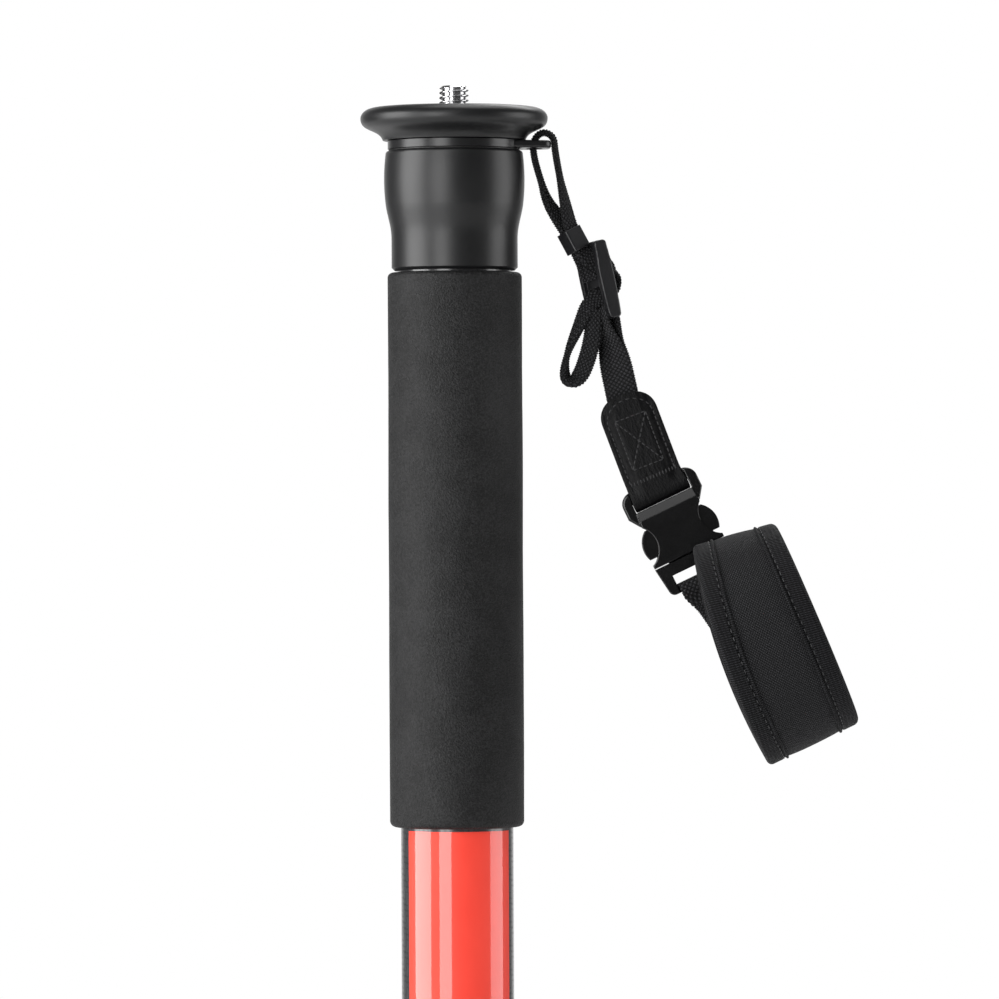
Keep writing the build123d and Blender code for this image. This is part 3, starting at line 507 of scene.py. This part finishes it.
def camera_screw():
    """The 3/8 inch end with its helical V thread, the disc below it and the plain 1/4 inch end."""
    radius, pitch, top, chamfer, chamfer_slope = 4.76, 1.5875, 7.0, 0.8, 1.1
    depth, crest, root = 0.58 * pitch, 0.12, 0.9
    thread_foot, disc_top, disc_bottom, small_end = -0.9, -4.4, -7.2, -16.2
    rows_per_turn, steps, axis = 18, 96, 0.02
    shank_radius, disc_radius, small_radius, tip_radius, tip_start = 4.2, 8.0, 3.17, 2.8, -15.8
    rows = int((top - thread_foot) / pitch * rows_per_turn)
    points = []
    for row in range(rows + 1):
        height = mix(thread_foot, top, row / rows)
        limit = radius - max(0.0, height - (top - chamfer)) * chamfer_slope
        for step in range(steps):
            turn = step / steps
            valley = abs(2 * ((height / pitch - turn) % 1.0) - 1)
            r = min(radius - depth * smooth(crest, root, valley), limit)
            angle = 2 * math.pi * turn
            points.append((r * math.cos(angle), r * math.sin(angle), height))
    faces = capped(rows + 1, steps)
    disc = [(axis, disc_bottom), (axis, thread_foot), (shank_radius, thread_foot),
            (shank_radius, disc_top), (disc_radius, disc_top), (disc_radius, disc_bottom)]
    small = [(axis, small_end), (axis, disc_bottom), (small_radius, disc_bottom),
             (small_radius, tip_start), (tip_radius, small_end)]
    for profile in (disc, small):
        more_points, more_faces = turned(profile, steps, len(points))
        points += more_points
        faces += more_faces
    piece("screw_thread", points, faces, STEEL, "head", ["camera_screw"], sharp=50.0)


def platform_pad():
    """Rubber pad let into the platform, with turned grooves."""
    outer, inner, bottom, edge = 23.4, 8.0, -1.2, 0.25
    first_groove, groove_pitch, groove_half, floor_half, depth = 22.0, 1.5, 0.42, 0.22, 0.35
    profile = [(outer, bottom), (outer, -edge)] + arc((outer - edge, -edge), edge, 0, 90, 4)
    for groove in range(9):
        middle = first_groove - groove * groove_pitch
        profile += [(middle + groove_half, 0.0), (middle + floor_half, -depth),
                    (middle - floor_half, -depth), (middle - groove_half, 0.0)]
    profile += arc((inner + edge, -edge), edge, 90, 180, 4) + [(inner, bottom)]
    points, faces = turned(profile, 160)
    piece("pad_grooved", points, faces, PAD, "head", ["platform_pad"], sharp=35.0)


FOAM_TOP, FOAM_BOTTOM, FOAM_RADIUS, TUBE_RADIUS = -52.7, -230.1, 21.5, 18.0


def foam_sleeve():
    """Foam grip, rounded at both ends and a little uneven on the outside."""
    bore, top_round, bottom_round, skin = TUBE_RADIUS + 0.03, 1.7, 1.9, 19.5
    swells = ((28.0, 0.12), (320.0, 0.035))
    top, bottom = FOAM_TOP - top_round, FOAM_BOTTOM + bottom_round
    profile = [(bore, FOAM_TOP - 0.2)]
    profile += arc((FOAM_RADIUS - top_round, top), top_round, 90, 0, 8)
    profile += [(FOAM_RADIUS, mix(top, bottom, i / 60)) for i in range(1, 60)]
    profile += arc((FOAM_RADIUS - bottom_round, bottom), bottom_round, 0, -90, 8)
    profile += [(bore, FOAM_BOTTOM)]
    points, faces = turned(profile[::-1], 192)
    foam = piece("foam_sleeve", points, faces, FOAM, "head", ["foam_grip"], sharp=50.0)
    for vertex in foam.data.vertices:
        radial = Vector((vertex.co.x, vertex.co.y, 0))
        if radial.length > skin * MM:
            swell = sum(noise.noise(vertex.co * scale) * height for scale, height in swells)
            vertex.co += radial.normalized() * swell * MM


def tube_film():
    """Red film on the upper tube, 123 degrees wide towards the viewer, down to the first lock."""
    left, right, top, bottom = -58.0, 65.0, FOAM_BOTTOM - 0.9, -313.0
    outer, inner = TUBE_RADIUS + 0.14, TUBE_RADIUS + 0.02
    steps, rows = 60, 24
    section = [(math.radians(mix(left, right, step / steps)), outer) for step in range(steps + 1)]
    section += [(angle, inner) for angle, radius in section[::-1]]
    points = []
    for row in range(rows + 1):
        height = mix(top, bottom, row / rows)
        points += [(r * math.sin(angle), -r * math.cos(angle), height) for angle, r in section]
    faces = [face[::-1] for face in capped(rows + 1, len(section))]
    piece("tube_film", points, faces, LABEL, "head", sharp=30.0)


camera_screw()
platform_pad()
foam_sleeve()
tube_film()

# ---- strap frames, as in the CAD source: how the pieces lean in the picture, and how the slider
# and the keeper are turned about their own length, in degrees
SLIDER_TILT, SLIDER_TURN, KEEPER_TILT, KEEPER_TURN = 12.0, 27, 28.0, 35
STRAP_TILT, LEAF_TILT, BAND_TILT = 25.5, 20.5, 20.5
SLIDER_CENTRE = Vector((45.75, 0, -55.7))
SLIDER_ACROSS, SLIDER_UP = in_view(SLIDER_TILT)
SLIDER_SIDE = SLIDER_UP.cross(swung(SLIDER_ACROSS, -TOWARD, SLIDER_TURN))
KEEPER_ACROSS, KEEPER_UP = in_view(KEEPER_TILT)
KEEPER_SIDE = KEEPER_UP.cross(swung(TOWARD, KEEPER_ACROSS, KEEPER_TURN))
STRAP_ACROSS, STRAP_UP = in_view(STRAP_TILT)
BUCKLE = Vector((66.7, 0.5, -126.0))
BAND_ALONG, BAND_UP = in_view(BAND_TILT)
BAND_CENTRE = Vector((99.96, -23.0, -170.41))

# ---- cord: the CAD route's points, each with the way its flat braid's width lies. A number turns
# the width from the picture's plane (0) to the line of sight (90).
CORD_ROUTE = [
    ((43.7, -0.8, -55.5), "bar"),
    ((42.2, -0.6, -51.2), "window"),
    ((39.70, -2.26, -46.57), "keeper"),
    ((36.38, -2.26, -40.30), "keeper"),
    ((33.0, -1.6, -35.0), "keeper"),
    ((29.7, -0.8, -30.0), "half"),
    ((27.7, -0.2, -23.5), "ear"),
    ((25.5, 0.0, -16.0), "ear"),
    ((25.2, 0.0, -10.6), "ear"),
    ((28.2, 0.0, -7.6), "ear"),
    ((31.9, 0.0, -9.2), "ear"),
    ((32.3, 0.0, -14.0), "ear"),
    ((33.6, -0.6, -21.5), "ear"),
    ((35.3, -1.8, -30.0), "half"),
    ((37.29, -3.74, -39.82), "keeper"),
    ((40.62, -3.74, -46.09), "keeper"),
    ((43.6, -2.6, -49.3), 180),
    ((49.0, 1.4, -50.2), 150),
    ((52.2, 3.0, -54.3), "slider"),
    ((50.2, 2.2, -59.0), 30),
    ((43.5, -1.7, -61.8), 15),
    ((39.4, -1.9, -70.6), 57),
    ((35.2, -2.0, -80.2), 92),
    ((35.0, -2.2, -88.0), 130),
    ((39.6, -2.6, -87.4), 155),
    ((42.7, -2.8, -79.6), 175),
    ((44.5, -2.7, -71.0), 175),
    ((44.6, -2.3, -64.9), 180),
]
CORD_NAMED = {
    "slider": SLIDER_SIDE,
    "keeper": KEEPER_SIDE,
    "ear": -TOWARD,
    "half": (KEEPER_SIDE - TOWARD).normalized(),
    "window": Vector((0.94, 0.25, 0.33)),
    "bar": Vector((0.87, -0.3, 0.25)).normalized(),
}
CORD_SIZE = (5.2, 1.6)
TURN_BACK = 120.0  # millimetres along the cord to its turn round the slider's middle bar
ROUTE_STEPS = 36


def cord_width(index):
    turn = CORD_ROUTE[index][1]
    if isinstance(turn, str):
        return CORD_NAMED[turn]
    before = Vector(CORD_ROUTE[index - 1][0])
    after = Vector(CORD_ROUTE[min(index + 1, len(CORD_ROUTE) - 1)][0])
    along = (after - before).normalized()
    in_plane = Vector((along.z, 0, -along.x)).normalized()
    return swung(in_plane, -TOWARD, turn)


def nurbs_points(points):
    """Points read from a NURBS spline with these control points, in the units given."""
    curve = bpy.data.curves.new("route", "CURVE")
    curve.dimensions = "3D"
    spline = curve.splines.new("NURBS")
    spline.points.add(len(points) - 1)
    for target, point in zip(spline.points, points):
        target.co = (*point, 1)
    spline.order_u = 3
    spline.use_endpoint_u = True
    spline.resolution_u = ROUTE_STEPS
    carrier = bpy.data.objects.new("route", curve)
    bpy.context.collection.objects.link(carrier)
    depsgraph = bpy.context.evaluated_depsgraph_get()
    mesh = bpy.data.meshes.new_from_object(carrier.evaluated_get(depsgraph))
    read = [vertex.co.copy() for vertex in mesh.vertices]
    bpy.data.objects.remove(carrier)
    bpy.data.curves.remove(curve)
    bpy.data.meshes.remove(mesh)
    return read


def braid(x, along, side):
    """Diamond bumps of a flat braid, which spreads where it turns back through the slider."""
    face_height, edge_height, plait_height, spread_width = 0.5, 0.8, 0.2, 0.6
    plait = plait_height * abs(side) * math.cos(2 * math.pi * along / CORD_YARNS[0])
    near = 1 - smooth(2.0, 4.5, abs(along - TURN_BACK))
    pressed = spread_width * near * smooth(2.0, 2.5, abs(x))
    height = mix(face_height, edge_height, smooth(1.6, 2.4, abs(x)))
    return height * (diamond(x, along, CORD_YARNS) - MEAN_DIAMOND) + plait + pressed


cord_line = nurbs_points([point for point, turn in CORD_ROUTE])
cord_turns = nurbs_points([cord_width(i) * 10 for i in range(len(CORD_ROUTE))])
cord = strip("strap_braid", cord_line, cord_turns, CORD_SIZE, CORD, ["strap_cord"], braid, ring=56)

# ---- leather tab and webbing. They lean less than the buckle: the tab bends just above its bar.
FOLD_HEIGHT, FOLD_RADIUS, FOLD_DROP = 3.0, 1.85, 2.3
LEAF_HALF, LEAF_TOP, LEAF_THICK = 9.3, 36.5, 1.3
LEAF_CORNER, CORNER_POWER = 7.6, 2.3
BEND_LENGTH, BEND_STEP = 10, 0.5


def leaf_place(height):
    """Centre, across and up directions of the leather tab at a height over the buckle's origin."""
    centre = BUCKLE + STRAP_UP * min(height, FOLD_HEIGHT)
    across, up = STRAP_ACROSS, STRAP_UP
    steps = max(0, math.ceil((height - FOLD_HEIGHT) / BEND_STEP))
    for step in range(steps):
        bent = smooth(0, BEND_LENGTH, BEND_STEP * step)
        across, up = in_view(mix(STRAP_TILT, LEAF_TILT, bent))
        centre = centre + up * ((height - FOLD_HEIGHT) / steps)
    return centre, across, up


# Webbing: one strip up from the leather, over the slider's lowest bar and down again, which twists
# by a quarter turn. A share of the way runs from the bar (0) to the leather's top (1) and on inside
# it.
LOWER_BAR_DROP, WEBBING_END = 11.1, 35.2
LOWER_BAR = SLIDER_CENTRE - SLIDER_UP * LOWER_BAR_DROP
LEATHER_TOP, LEAF_ACROSS, LEAF_UP = leaf_place(WEBBING_END)
WEBBING_AXIS = LEATHER_TOP - LOWER_BAR
WEBBING_SIZE = (9.9, 1.1)
LOOP_SHARE, INNER_SHARE = 0.07, 1.28
LAYER, PARTING = 0.62, 1.35  # half the distance of the two layers, and what the bar adds to it
LOOP_HEIGHT, LOOP_SINK = 3.8, 0.6
LAYER_STEPS, LOOP_STEPS = 199, 24


def webbing_frame(share):
    """Centre line, width and outward directions at a share of the way."""
    centre = LOWER_BAR + WEBBING_AXIS * share
    width = mix(-SLIDER_SIDE, LEAF_ACROSS, smooth(0.0, 1.0, share)).normalized()
    return centre, width, width.cross(WEBBING_AXIS).normalized()


def webbing_layer(start, stop, side):
    """(point, width) places of one of the two layers, which part round the bar."""
    places = []
    for step in range(LAYER_STEPS + 1):
        share = mix(start, stop, step / LAYER_STEPS)
        centre, width, outward = webbing_frame(min(share, 1.0))
        if share > 1:
            centre = centre - LEAF_UP * (share - 1) * WEBBING_AXIS.length
        parted = LAYER + PARTING * (1 - smooth(0.05, 0.42, share))
        places.append((centre + outward * (side * parted), width))
    return places


def webbing_loop():
    """(point, width) places over the bar."""
    width, outward = webbing_frame(0.0)[1:]
    places = []
    for step in range(1, LOOP_STEPS):
        angle = math.pi * step / LOOP_STEPS
        rise = LOOP_HEIGHT * math.sin(angle) - LOOP_SINK
        point = LOWER_BAR + outward * (LAYER + PARTING) * math.cos(angle) + SLIDER_UP * rise
        places.append((point, width))
    return places


def webbing_ribs(x, along, side):
    face_height, edge_height = 0.42, 0.7
    height = mix(face_height, edge_height, smooth(4.2, 4.9, abs(x)))
    return height * (diamond(x, along, WEBBING_YARNS) - MEAN_DIAMOND)


webbing = (webbing_layer(INNER_SHARE, LOOP_SHARE, 1) + webbing_loop()
           + webbing_layer(LOOP_SHARE, INNER_SHARE, -1))
webbing_line, webbing_widths = zip(*webbing)
strip("strap_webbing_strip", webbing_line, webbing_widths, WEBBING_SIZE, WEBBING,
      ["strap_webbing"], webbing_ribs, ring=64, edge=0.35)


def leaf_half_width(height):
    if height < LEAF_TOP - LEAF_CORNER:
        return LEAF_HALF
    rise = min(1.0, (height - (LEAF_TOP - LEAF_CORNER)) / LEAF_CORNER)
    return LEAF_HALF - LEAF_CORNER + LEAF_CORNER * math.sqrt(max(0.0, 1 - rise ** CORNER_POWER))


def leaf_lift(x, height):
    """Height of a leaf over the tab's own plane: up over the webbing, down at the seams."""
    webbing_half, seam_start, settled = 4.4, 7.2, 6.0
    seam_lift, webbing_lift, wave = 0.72, 1.2, 0.12
    over = 1 - smooth(webbing_half, seam_start, abs(x))
    flat_share = smooth(FOLD_HEIGHT, FOLD_HEIGHT + settled, height)
    lift = mix(FOLD_RADIUS, seam_lift + webbing_lift * over, flat_share)
    return lift + wave * noise.noise(Vector((x * 0.22, height * 0.16, 3.0))) * flat_share


def leather_point(x, height, side, offset):
    lift = leaf_lift(x, height) + offset
    centre, across = leaf_place(height)[:2]
    return centre + across * x + TOWARD * (side * lift)


def fold_point(x, turn, offset):
    """Point where the leather runs round the buckle's bar; turn is 0 in front and pi behind."""
    sag = (FOLD_DROP + offset) * math.sin(turn)
    reach = (FOLD_RADIUS + offset) * math.cos(turn)
    return BUCKLE + STRAP_ACROSS * x + STRAP_UP * (FOLD_HEIGHT - sag) + TOWARD * reach


def leather_tab():
    """Two leaves over the webbing, folded round the buckle's bar."""
    columns, leaf_rows, fold_rows, row_length = 40, 85, 12, 0.39
    edge_radius, edge_fullness, flare, column_power = 0.5, 0.12, 0.35, 0.9
    top = LEAF_TOP - 0.02
    # (side, height, turn) of each row; turn is None on the leaves
    rows = [(1, mix(top, FOLD_HEIGHT, step / leaf_rows), None) for step in range(leaf_rows + 1)]
    rows += [(0, 0.0, math.pi * step / fold_rows) for step in range(1, fold_rows)]
    rows += [(-1, mix(FOLD_HEIGHT, top, step / leaf_rows), None) for step in range(leaf_rows + 1)]
    points, flat, travelled = [], [], 0.0
    for side, height, turn in rows:
        travelled += row_length
        half = leaf_half_width(height) + flare * (1 - smooth(FOLD_HEIGHT, 9.0, height))
        for layer in (1, -1):
            for column in range(columns + 1)[::layer]:
                share = 2 * column / columns - 1
                x = half * rounded(math.sin(share * math.pi / 2), column_power)
                past = max(0.0, (abs(x) - (half - edge_radius)) / edge_radius)
                fullness = max(edge_fullness, math.sqrt(max(0.0, 1 - past ** 2)))
                offset = layer * LEAF_THICK / 2 * fullness
                if turn is None:
                    points.append(leather_point(x, height, side, offset))
                else:
                    points.append(fold_point(x, turn, offset))
                flat.append((x, travelled))
    faces = capped(len(rows), 2 * (columns + 1))
    piece("leather_strip", points, faces, LEATHER, "strap", ["leather_tab"], flat=flat,
          sharp=50.0)


def leather_run(start, stop, spacing):
    """Stitch places from start to stop, in the tab's own (across, up) millimetres."""
    (x0, y0), (x1, y1) = start, stop
    length = math.hypot(x1 - x0, y1 - y0)
    count = max(1, round(length / spacing))
    places = []
    for i in range(count):
        share = (i + 0.5) / count
        x, height = mix(x0, x1, share), mix(y0, y1, share)
        across, up = leaf_place(height)[1:]
        along = (across * (x1 - x0) + up * (y1 - y0)).normalized()
        for side in (1, -1):
            point = leather_point(x, height, side, LEAF_THICK / 2 + 0.05)
            places.append((point, along, TOWARD * side))
    return places


def leather_seams():
    """The seam round the edge, the box with its cross, and the slanting row above the bar."""
    edge, low, shoulder, crown = LEAF_HALF - 1.7, 8.4, 28.5, 6.2
    edge_spacing, box_spacing, row_spacing = 1.9, 1.7, 4.2
    places = leather_run((-edge, low), (-edge, shoulder), edge_spacing)
    places += leather_run((edge, low), (edge, shoulder), edge_spacing)
    angles = [math.radians(18 * i) for i in range(11)]
    corners = [(edge * math.cos(a), shoulder + crown * math.sin(a)) for a in angles]
    for start, stop in zip(corners, corners[1:]):
        places += leather_run(start, stop, edge_spacing)
    box, box_low, box_high = 5.2, 12.5, 29
    left_low, left_high, right_low, right_high = [
        (x, y) for x in (-box, box) for y in (box_low, box_high)]
    for start, stop in ((left_low, left_high), (right_low, right_high), (left_high, right_high),
                        (left_low, right_low), (left_low, right_high), (right_low, left_high)):
        places += leather_run(start, stop, box_spacing)
    row_half, row_low, row_high, slant = 7.6, 6.6, 10.4, 0.45
    for i in range(15):
        x = mix(-row_half, row_half, i / 14)
        places += leather_run((x, row_low), (x + slant, row_high), row_spacing)
    return places


leather_tab()
stitches("leather_stitches", leather_seams(), length=1.35)

# ---- wrist band: each part is a profile swept round the loop
BAND_ARC_STEPS = 180
BAND_HALF = 15.65
BAND_HIGH, BAND_DEEP = (34.9, 32.2), (24.3, 23.4)  # half sizes at the left rim and at the right
RIMS = {-1: (-BAND_HALF, -0.3, 0.9, -1.5), 1: (BAND_HALF, 0.0, -1.3, 0.0)}
STRIP_WIDTH, HALF_PAD = 6.2, 2.0
EDGE_ROUND, BINDING_RISE, BINDING_DROP = 1.9, 0.18, 0.1


def rim(side, turn):
    """Place of a rim along the arm at a turn round the loop: 0 in front, 90 degrees at the top."""
    mean, front, top, second = RIMS[side]
    return mean + front * math.cos(turn) + top * math.sin(turn) + second * math.cos(2 * turn)


def band_point(turn, along, rise):
    """Point on the loop: along the arm, and rise above the middle of the padding."""
    taper = (along + BAND_HALF) / (2 * BAND_HALF)
    high, deep = mix(*BAND_HIGH, taper), mix(*BAND_DEEP, taper)
    cos, sin = math.cos(turn), math.sin(turn)
    outward = Vector((cos / deep, sin / high)).normalized()
    return (BAND_CENTRE + BAND_ALONG * along + BAND_UP * (high * sin + rise * outward.y)
            + TOWARD * (deep * cos + rise * outward.x))


def band_sweep(name, profile, material, replaces=(), wobble=0.0):
    """profile(turn) gives (along, rise) points of a closed section."""
    points, flat, travelled = [], [], 0.0
    before = band_point(math.pi, 0, HALF_PAD)
    for step in range(BAND_ARC_STEPS):
        turn = math.pi + 2 * math.pi * step / BAND_ARC_STEPS
        here = band_point(turn, 0, HALF_PAD)
        travelled += (here - before).length
        before = here
        for along, rise in profile(turn):
            lift = wobble * noise.noise(band_point(turn, along, rise) * 0.09) if wobble else 0.0
            points.append(band_point(turn, along, rise + lift))
            flat.append((along, travelled))
    columns = len(profile(0.0))
    faces = [face[::-1] for face in quads(BAND_ARC_STEPS, columns, close_rows=True)]
    return piece(name, points, faces, material, "strap", replaces, flat=flat, sharp=70.0)


def panel_profile(turn):
    """The padded panel, domed in front, which runs a little way under both bindings."""
    under, steps, front_sink, dome, dome_power, back_sink = 1.2, 40, 0.9, 1.15, 0.35, 0.5
    low, high = rim(-1, turn) + STRIP_WIDTH - under, rim(1, turn) - STRIP_WIDTH + under
    section = []
    for step in range(steps + 1):
        crown = math.sin(math.pi * step / steps) ** dome_power
        section.append((mix(low, high, step / steps), HALF_PAD - front_sink + dome * crown))
    for step in range(steps + 1):
        section.append((mix(high, low, step / steps), -HALF_PAD + back_sink))
    return section


def binding_profile(side):
    """The tape folded over an edge of the band, pulled down along its row of stitches."""
    groove_depth, groove_place, groove_width = 0.42, 0.1, 0.07
    front_steps, round_steps, back_steps = 16, 12, 8

    def profile(turn):
        edge = rim(side, turn)
        inner, fold = edge - side * STRIP_WIDTH, edge - side * EDGE_ROUND
        section = []
        for step in range(front_steps + 1):
            share = step / front_steps
            groove = groove_depth * math.exp(-((share - groove_place) / groove_width) ** 2)
            section.append((mix(inner, fold, share), HALF_PAD + BINDING_RISE - groove))
        for step in range(1, round_steps):
            angle = math.radians(mix(90, -90, step / round_steps))
            along = edge - side * (EDGE_ROUND - EDGE_ROUND * math.cos(angle))
            section.append((along, (HALF_PAD + BINDING_RISE) * math.sin(angle)))
        for step in range(back_steps + 1):
            section.append((mix(fold, inner, step / back_steps), -HALF_PAD - BINDING_DROP))
        return section[::-1] if side < 0 else section
    return profile


def piping_profile(side):
    """The round line of piping beside a binding."""
    radius, gap, rise = 0.46, 0.5, 0.12

    def profile(turn):
        middle = rim(side, turn) - side * (STRIP_WIDTH + gap)
        angles = [math.radians(a) for a in range(0, 360, 30)]
        return [(middle + radius * math.cos(a), HALF_PAD + rise + radius * math.sin(a))
                for a in angles][::-1]
    return profile


def binding_seam(side):
    """Stitch places along a binding's inner edge."""
    count, inset, ahead_turn = 84, 0.65, 0.02
    places = []
    for step in range(count):
        turn = 2 * math.pi * step / count
        place = rim(side, turn) - side * (STRIP_WIDTH - inset)
        here = band_point(turn, place, HALF_PAD)
        ahead = band_point(turn + ahead_turn, place, HALF_PAD)
        above = band_point(turn, place, HALF_PAD + 1.0)
        places.append((here, (ahead - here).normalized(), (above - here).normalized()))
    return places


band = band_sweep("band_panel", panel_profile, KNIT, ["wrist_band"], wobble=0.22)
for side, word in ((-1, "left"), (1, "right")):
    band_sweep(f"band_edge_{word}", binding_profile(side), BINDING,
               [f"band_binding_{word}"], wobble=0.12)
    band_sweep(f"band_piping_{word}", piping_profile(side), BINDING)
stitches("band_stitches", binding_seam(-1) + binding_seam(1), length=1.5)

# Webbing tab from the buckle's end bar to the back of the band. The band's outer half sizes are
# those of the CAD source, with how much less they are at the right rim.
END_BAR_DROP = 27.4
END_BAR = BUCKLE - STRAP_UP * END_BAR_DROP
OUTER_WIDTH, OUTER_DEEP, DEEP_TAPER, OUTER_HIGH, HIGH_TAPER = 31.4, 26.0, 0.9, 37.0, 2.7
TAB_STANDOFF, TAB_SIZE = 2.4, (14.8, 1.3)


def behind_band(along, height):
    share = along / OUTER_WIDTH + 0.5
    high = OUTER_HIGH - HIGH_TAPER * share
    back = (OUTER_DEEP - DEEP_TAPER * share) * math.sqrt(1 - (height / high) ** 2)
    return BAND_CENTRE + BAND_ALONG * along + BAND_UP * height - TOWARD * (back + TAB_STANDOFF)


TAB_HIGH, TAB_LOW = behind_band(-9.85, 16.0), behind_band(-7.45, 5.0)
HALF_WAY = (STRAP_ACROSS + BAND_ALONG).normalized()
tab_controls = [
    (END_BAR + TOWARD * 1.8 + STRAP_UP * 1.0, STRAP_ACROSS),
    (END_BAR + TOWARD * 2.2 - STRAP_UP * 1.6, STRAP_ACROSS),
    (END_BAR - STRAP_UP * 3.4, STRAP_ACROSS),
    (mix(END_BAR, TAB_HIGH, 0.55), HALF_WAY),
    (TAB_HIGH, HALF_WAY),
    (TAB_LOW, BAND_ALONG),
]
tab_line = nurbs_points([point for point, width in tab_controls])
tab_turns = nurbs_points([width * 10 for point, width in tab_controls])
strip("band_tab_strip", tab_line, tab_turns, TAB_SIZE, WEBBING, ["band_tab"], webbing_ribs,
      ring=72, edge=0.3)


# ---- stage: pale floor, white surroundings, soft boxes, camera; all in metres

def floor_material():
    """Pale floor that the camera sees round the foot, and that fades into the white farther out."""
    fade_start, fade_end = 0.1, 0.6
    material, tree, bsdf = shader("floor_paint", (0.88, 0.88, 0.88), 0.6)
    place = coordinates(tree, "object")
    tint(tree, bsdf, noise_of(tree, place, 6.0), (0.87, 0.87, 0.87), (0.9, 0.9, 0.9))
    reach = add(tree, "ShaderNodeVectorMath", {"operation": "LENGTH"}, i0=place).outputs["Value"]
    underside = add(tree, "ShaderNodeNewGeometry").outputs["Backfacing"]
    far = spread(tree, reach, 0.0, 1.0, fade_start, fade_end)
    seen = add(tree, "ShaderNodeLightPath").outputs["Is Camera Ray"]
    faded = calc(tree, "MULTIPLY", seen, calc(tree, "MAXIMUM", far, underside))
    clear = add(tree, "ShaderNodeBsdfTransparent").outputs[0]
    surface = add(tree, "ShaderNodeMixShader", i0=faded, i1=bsdf.outputs[0], i2=clear)
    tree.links.new(surface.outputs[0], tree.nodes["Material Output"].inputs["Surface"])
    return material


FLOOR_Z, FLOOR_RADIUS = -0.4742, 1.6
floor_mesh = bpy.data.meshes.new("floor")
floor_turns = [math.radians(3 * i) for i in range(120)]
floor_points = [(FLOOR_RADIUS * math.cos(a), FLOOR_RADIUS * math.sin(a), 0) for a in floor_turns]
floor_mesh.from_pydata(floor_points, [], [tuple(range(len(floor_points)))])
floor_mesh.materials.append(floor_material())
floor = bpy.data.objects.new("floor", floor_mesh)
floor.location.z = FLOOR_Z
bpy.context.collection.objects.link(floor)

# The surroundings: a dim light, a bright wall behind the object in reflections, and white to the
# camera
world = bpy.data.worlds.new("surroundings")
bpy.context.scene.world = world
world.use_nodes = True
sky = world.node_tree
sky.nodes.clear()
LEVEL, WALL_START, WALL_FULL = 0.14, 0.76, 0.95
rays = add(sky, "ShaderNodeLightPath").outputs
direction = axes(sky, add(sky, "ShaderNodeTexCoord").outputs["Generated"])
wall = spread(sky, direction[1], 0.0, 1.0 - LEVEL, WALL_START, WALL_FULL)
glossy = calc(sky, "MULTIPLY", rays["Is Glossy Ray"], wall)
direct = calc(sky, "MAXIMUM", rays["Is Camera Ray"], rays["Is Transmission Ray"])
strength = calc(sky, "MAXIMUM", calc(sky, "ADD", LEVEL, glossy), direct)
sky_light = add(sky, "ShaderNodeBackground", Color=(1, 1, 1, 1), Strength=strength)
sky.links.new(sky_light.outputs[0], add(sky, "ShaderNodeOutputWorld").inputs[0])

LAMP_AIM = Vector((0, 0, -0.15))


def soft_box(name, azimuth, distance, height, size, power):
    """A soft box that looks at the object from an azimuth in degrees, 0 where the camera is.

    Its distance, height and size are in metres and its power in watts.
    """
    lean = math.radians(azimuth)
    place = Vector((distance * math.sin(lean), -distance * math.cos(lean), height))
    lamp = bpy.data.lights.new(name, "AREA")
    lamp.shape = "RECTANGLE"
    lamp.size, lamp.size_y = size
    lamp.energy = power
    shown = bpy.data.objects.new(name, lamp)
    shown.location = place
    shown.rotation_euler = (LAMP_AIM - place).to_track_quat("-Z", "Y").to_euler()
    bpy.context.collection.objects.link(shown)


soft_box("side_left", -75, 1.75, 0.15, (1.35, 1.7), 51)
soft_box("front_left", -24, 1.9, 0.05, (0.86, 1.3), 21)
soft_box("front_high", -14, 1.35, 1.0, (1.0, 0.6), 3)
soft_box("side_right", 88, 1.75, 0.0, (1.1, 1.3), 15)
soft_box("top", 150, 0.35, 1.35, (0.9, 0.9), 8)
soft_box("back_right", 158, 1.35, 1.1, (0.9, 0.5), 7)

# The camera stands where the photograph's did: level, with a slight roll
CAMERA_PLACE, CAMERA_ROLL, FOCAL_LENGTH = (0.01401, -2.114, -0.12546), 0.0045, 237.9
lens = bpy.data.cameras.new("camera")
lens.sensor_width = 36.0
lens.lens = FOCAL_LENGTH
lens.clip_start = 0.05
camera = bpy.data.objects.new("camera", lens)
camera.location = CAMERA_PLACE
camera.rotation_euler = (math.pi / 2, CAMERA_ROLL, 0)
bpy.context.collection.objects.link(camera)
bpy.context.scene.camera = camera
bpy.context.scene.view_settings.view_transform = "Standard"
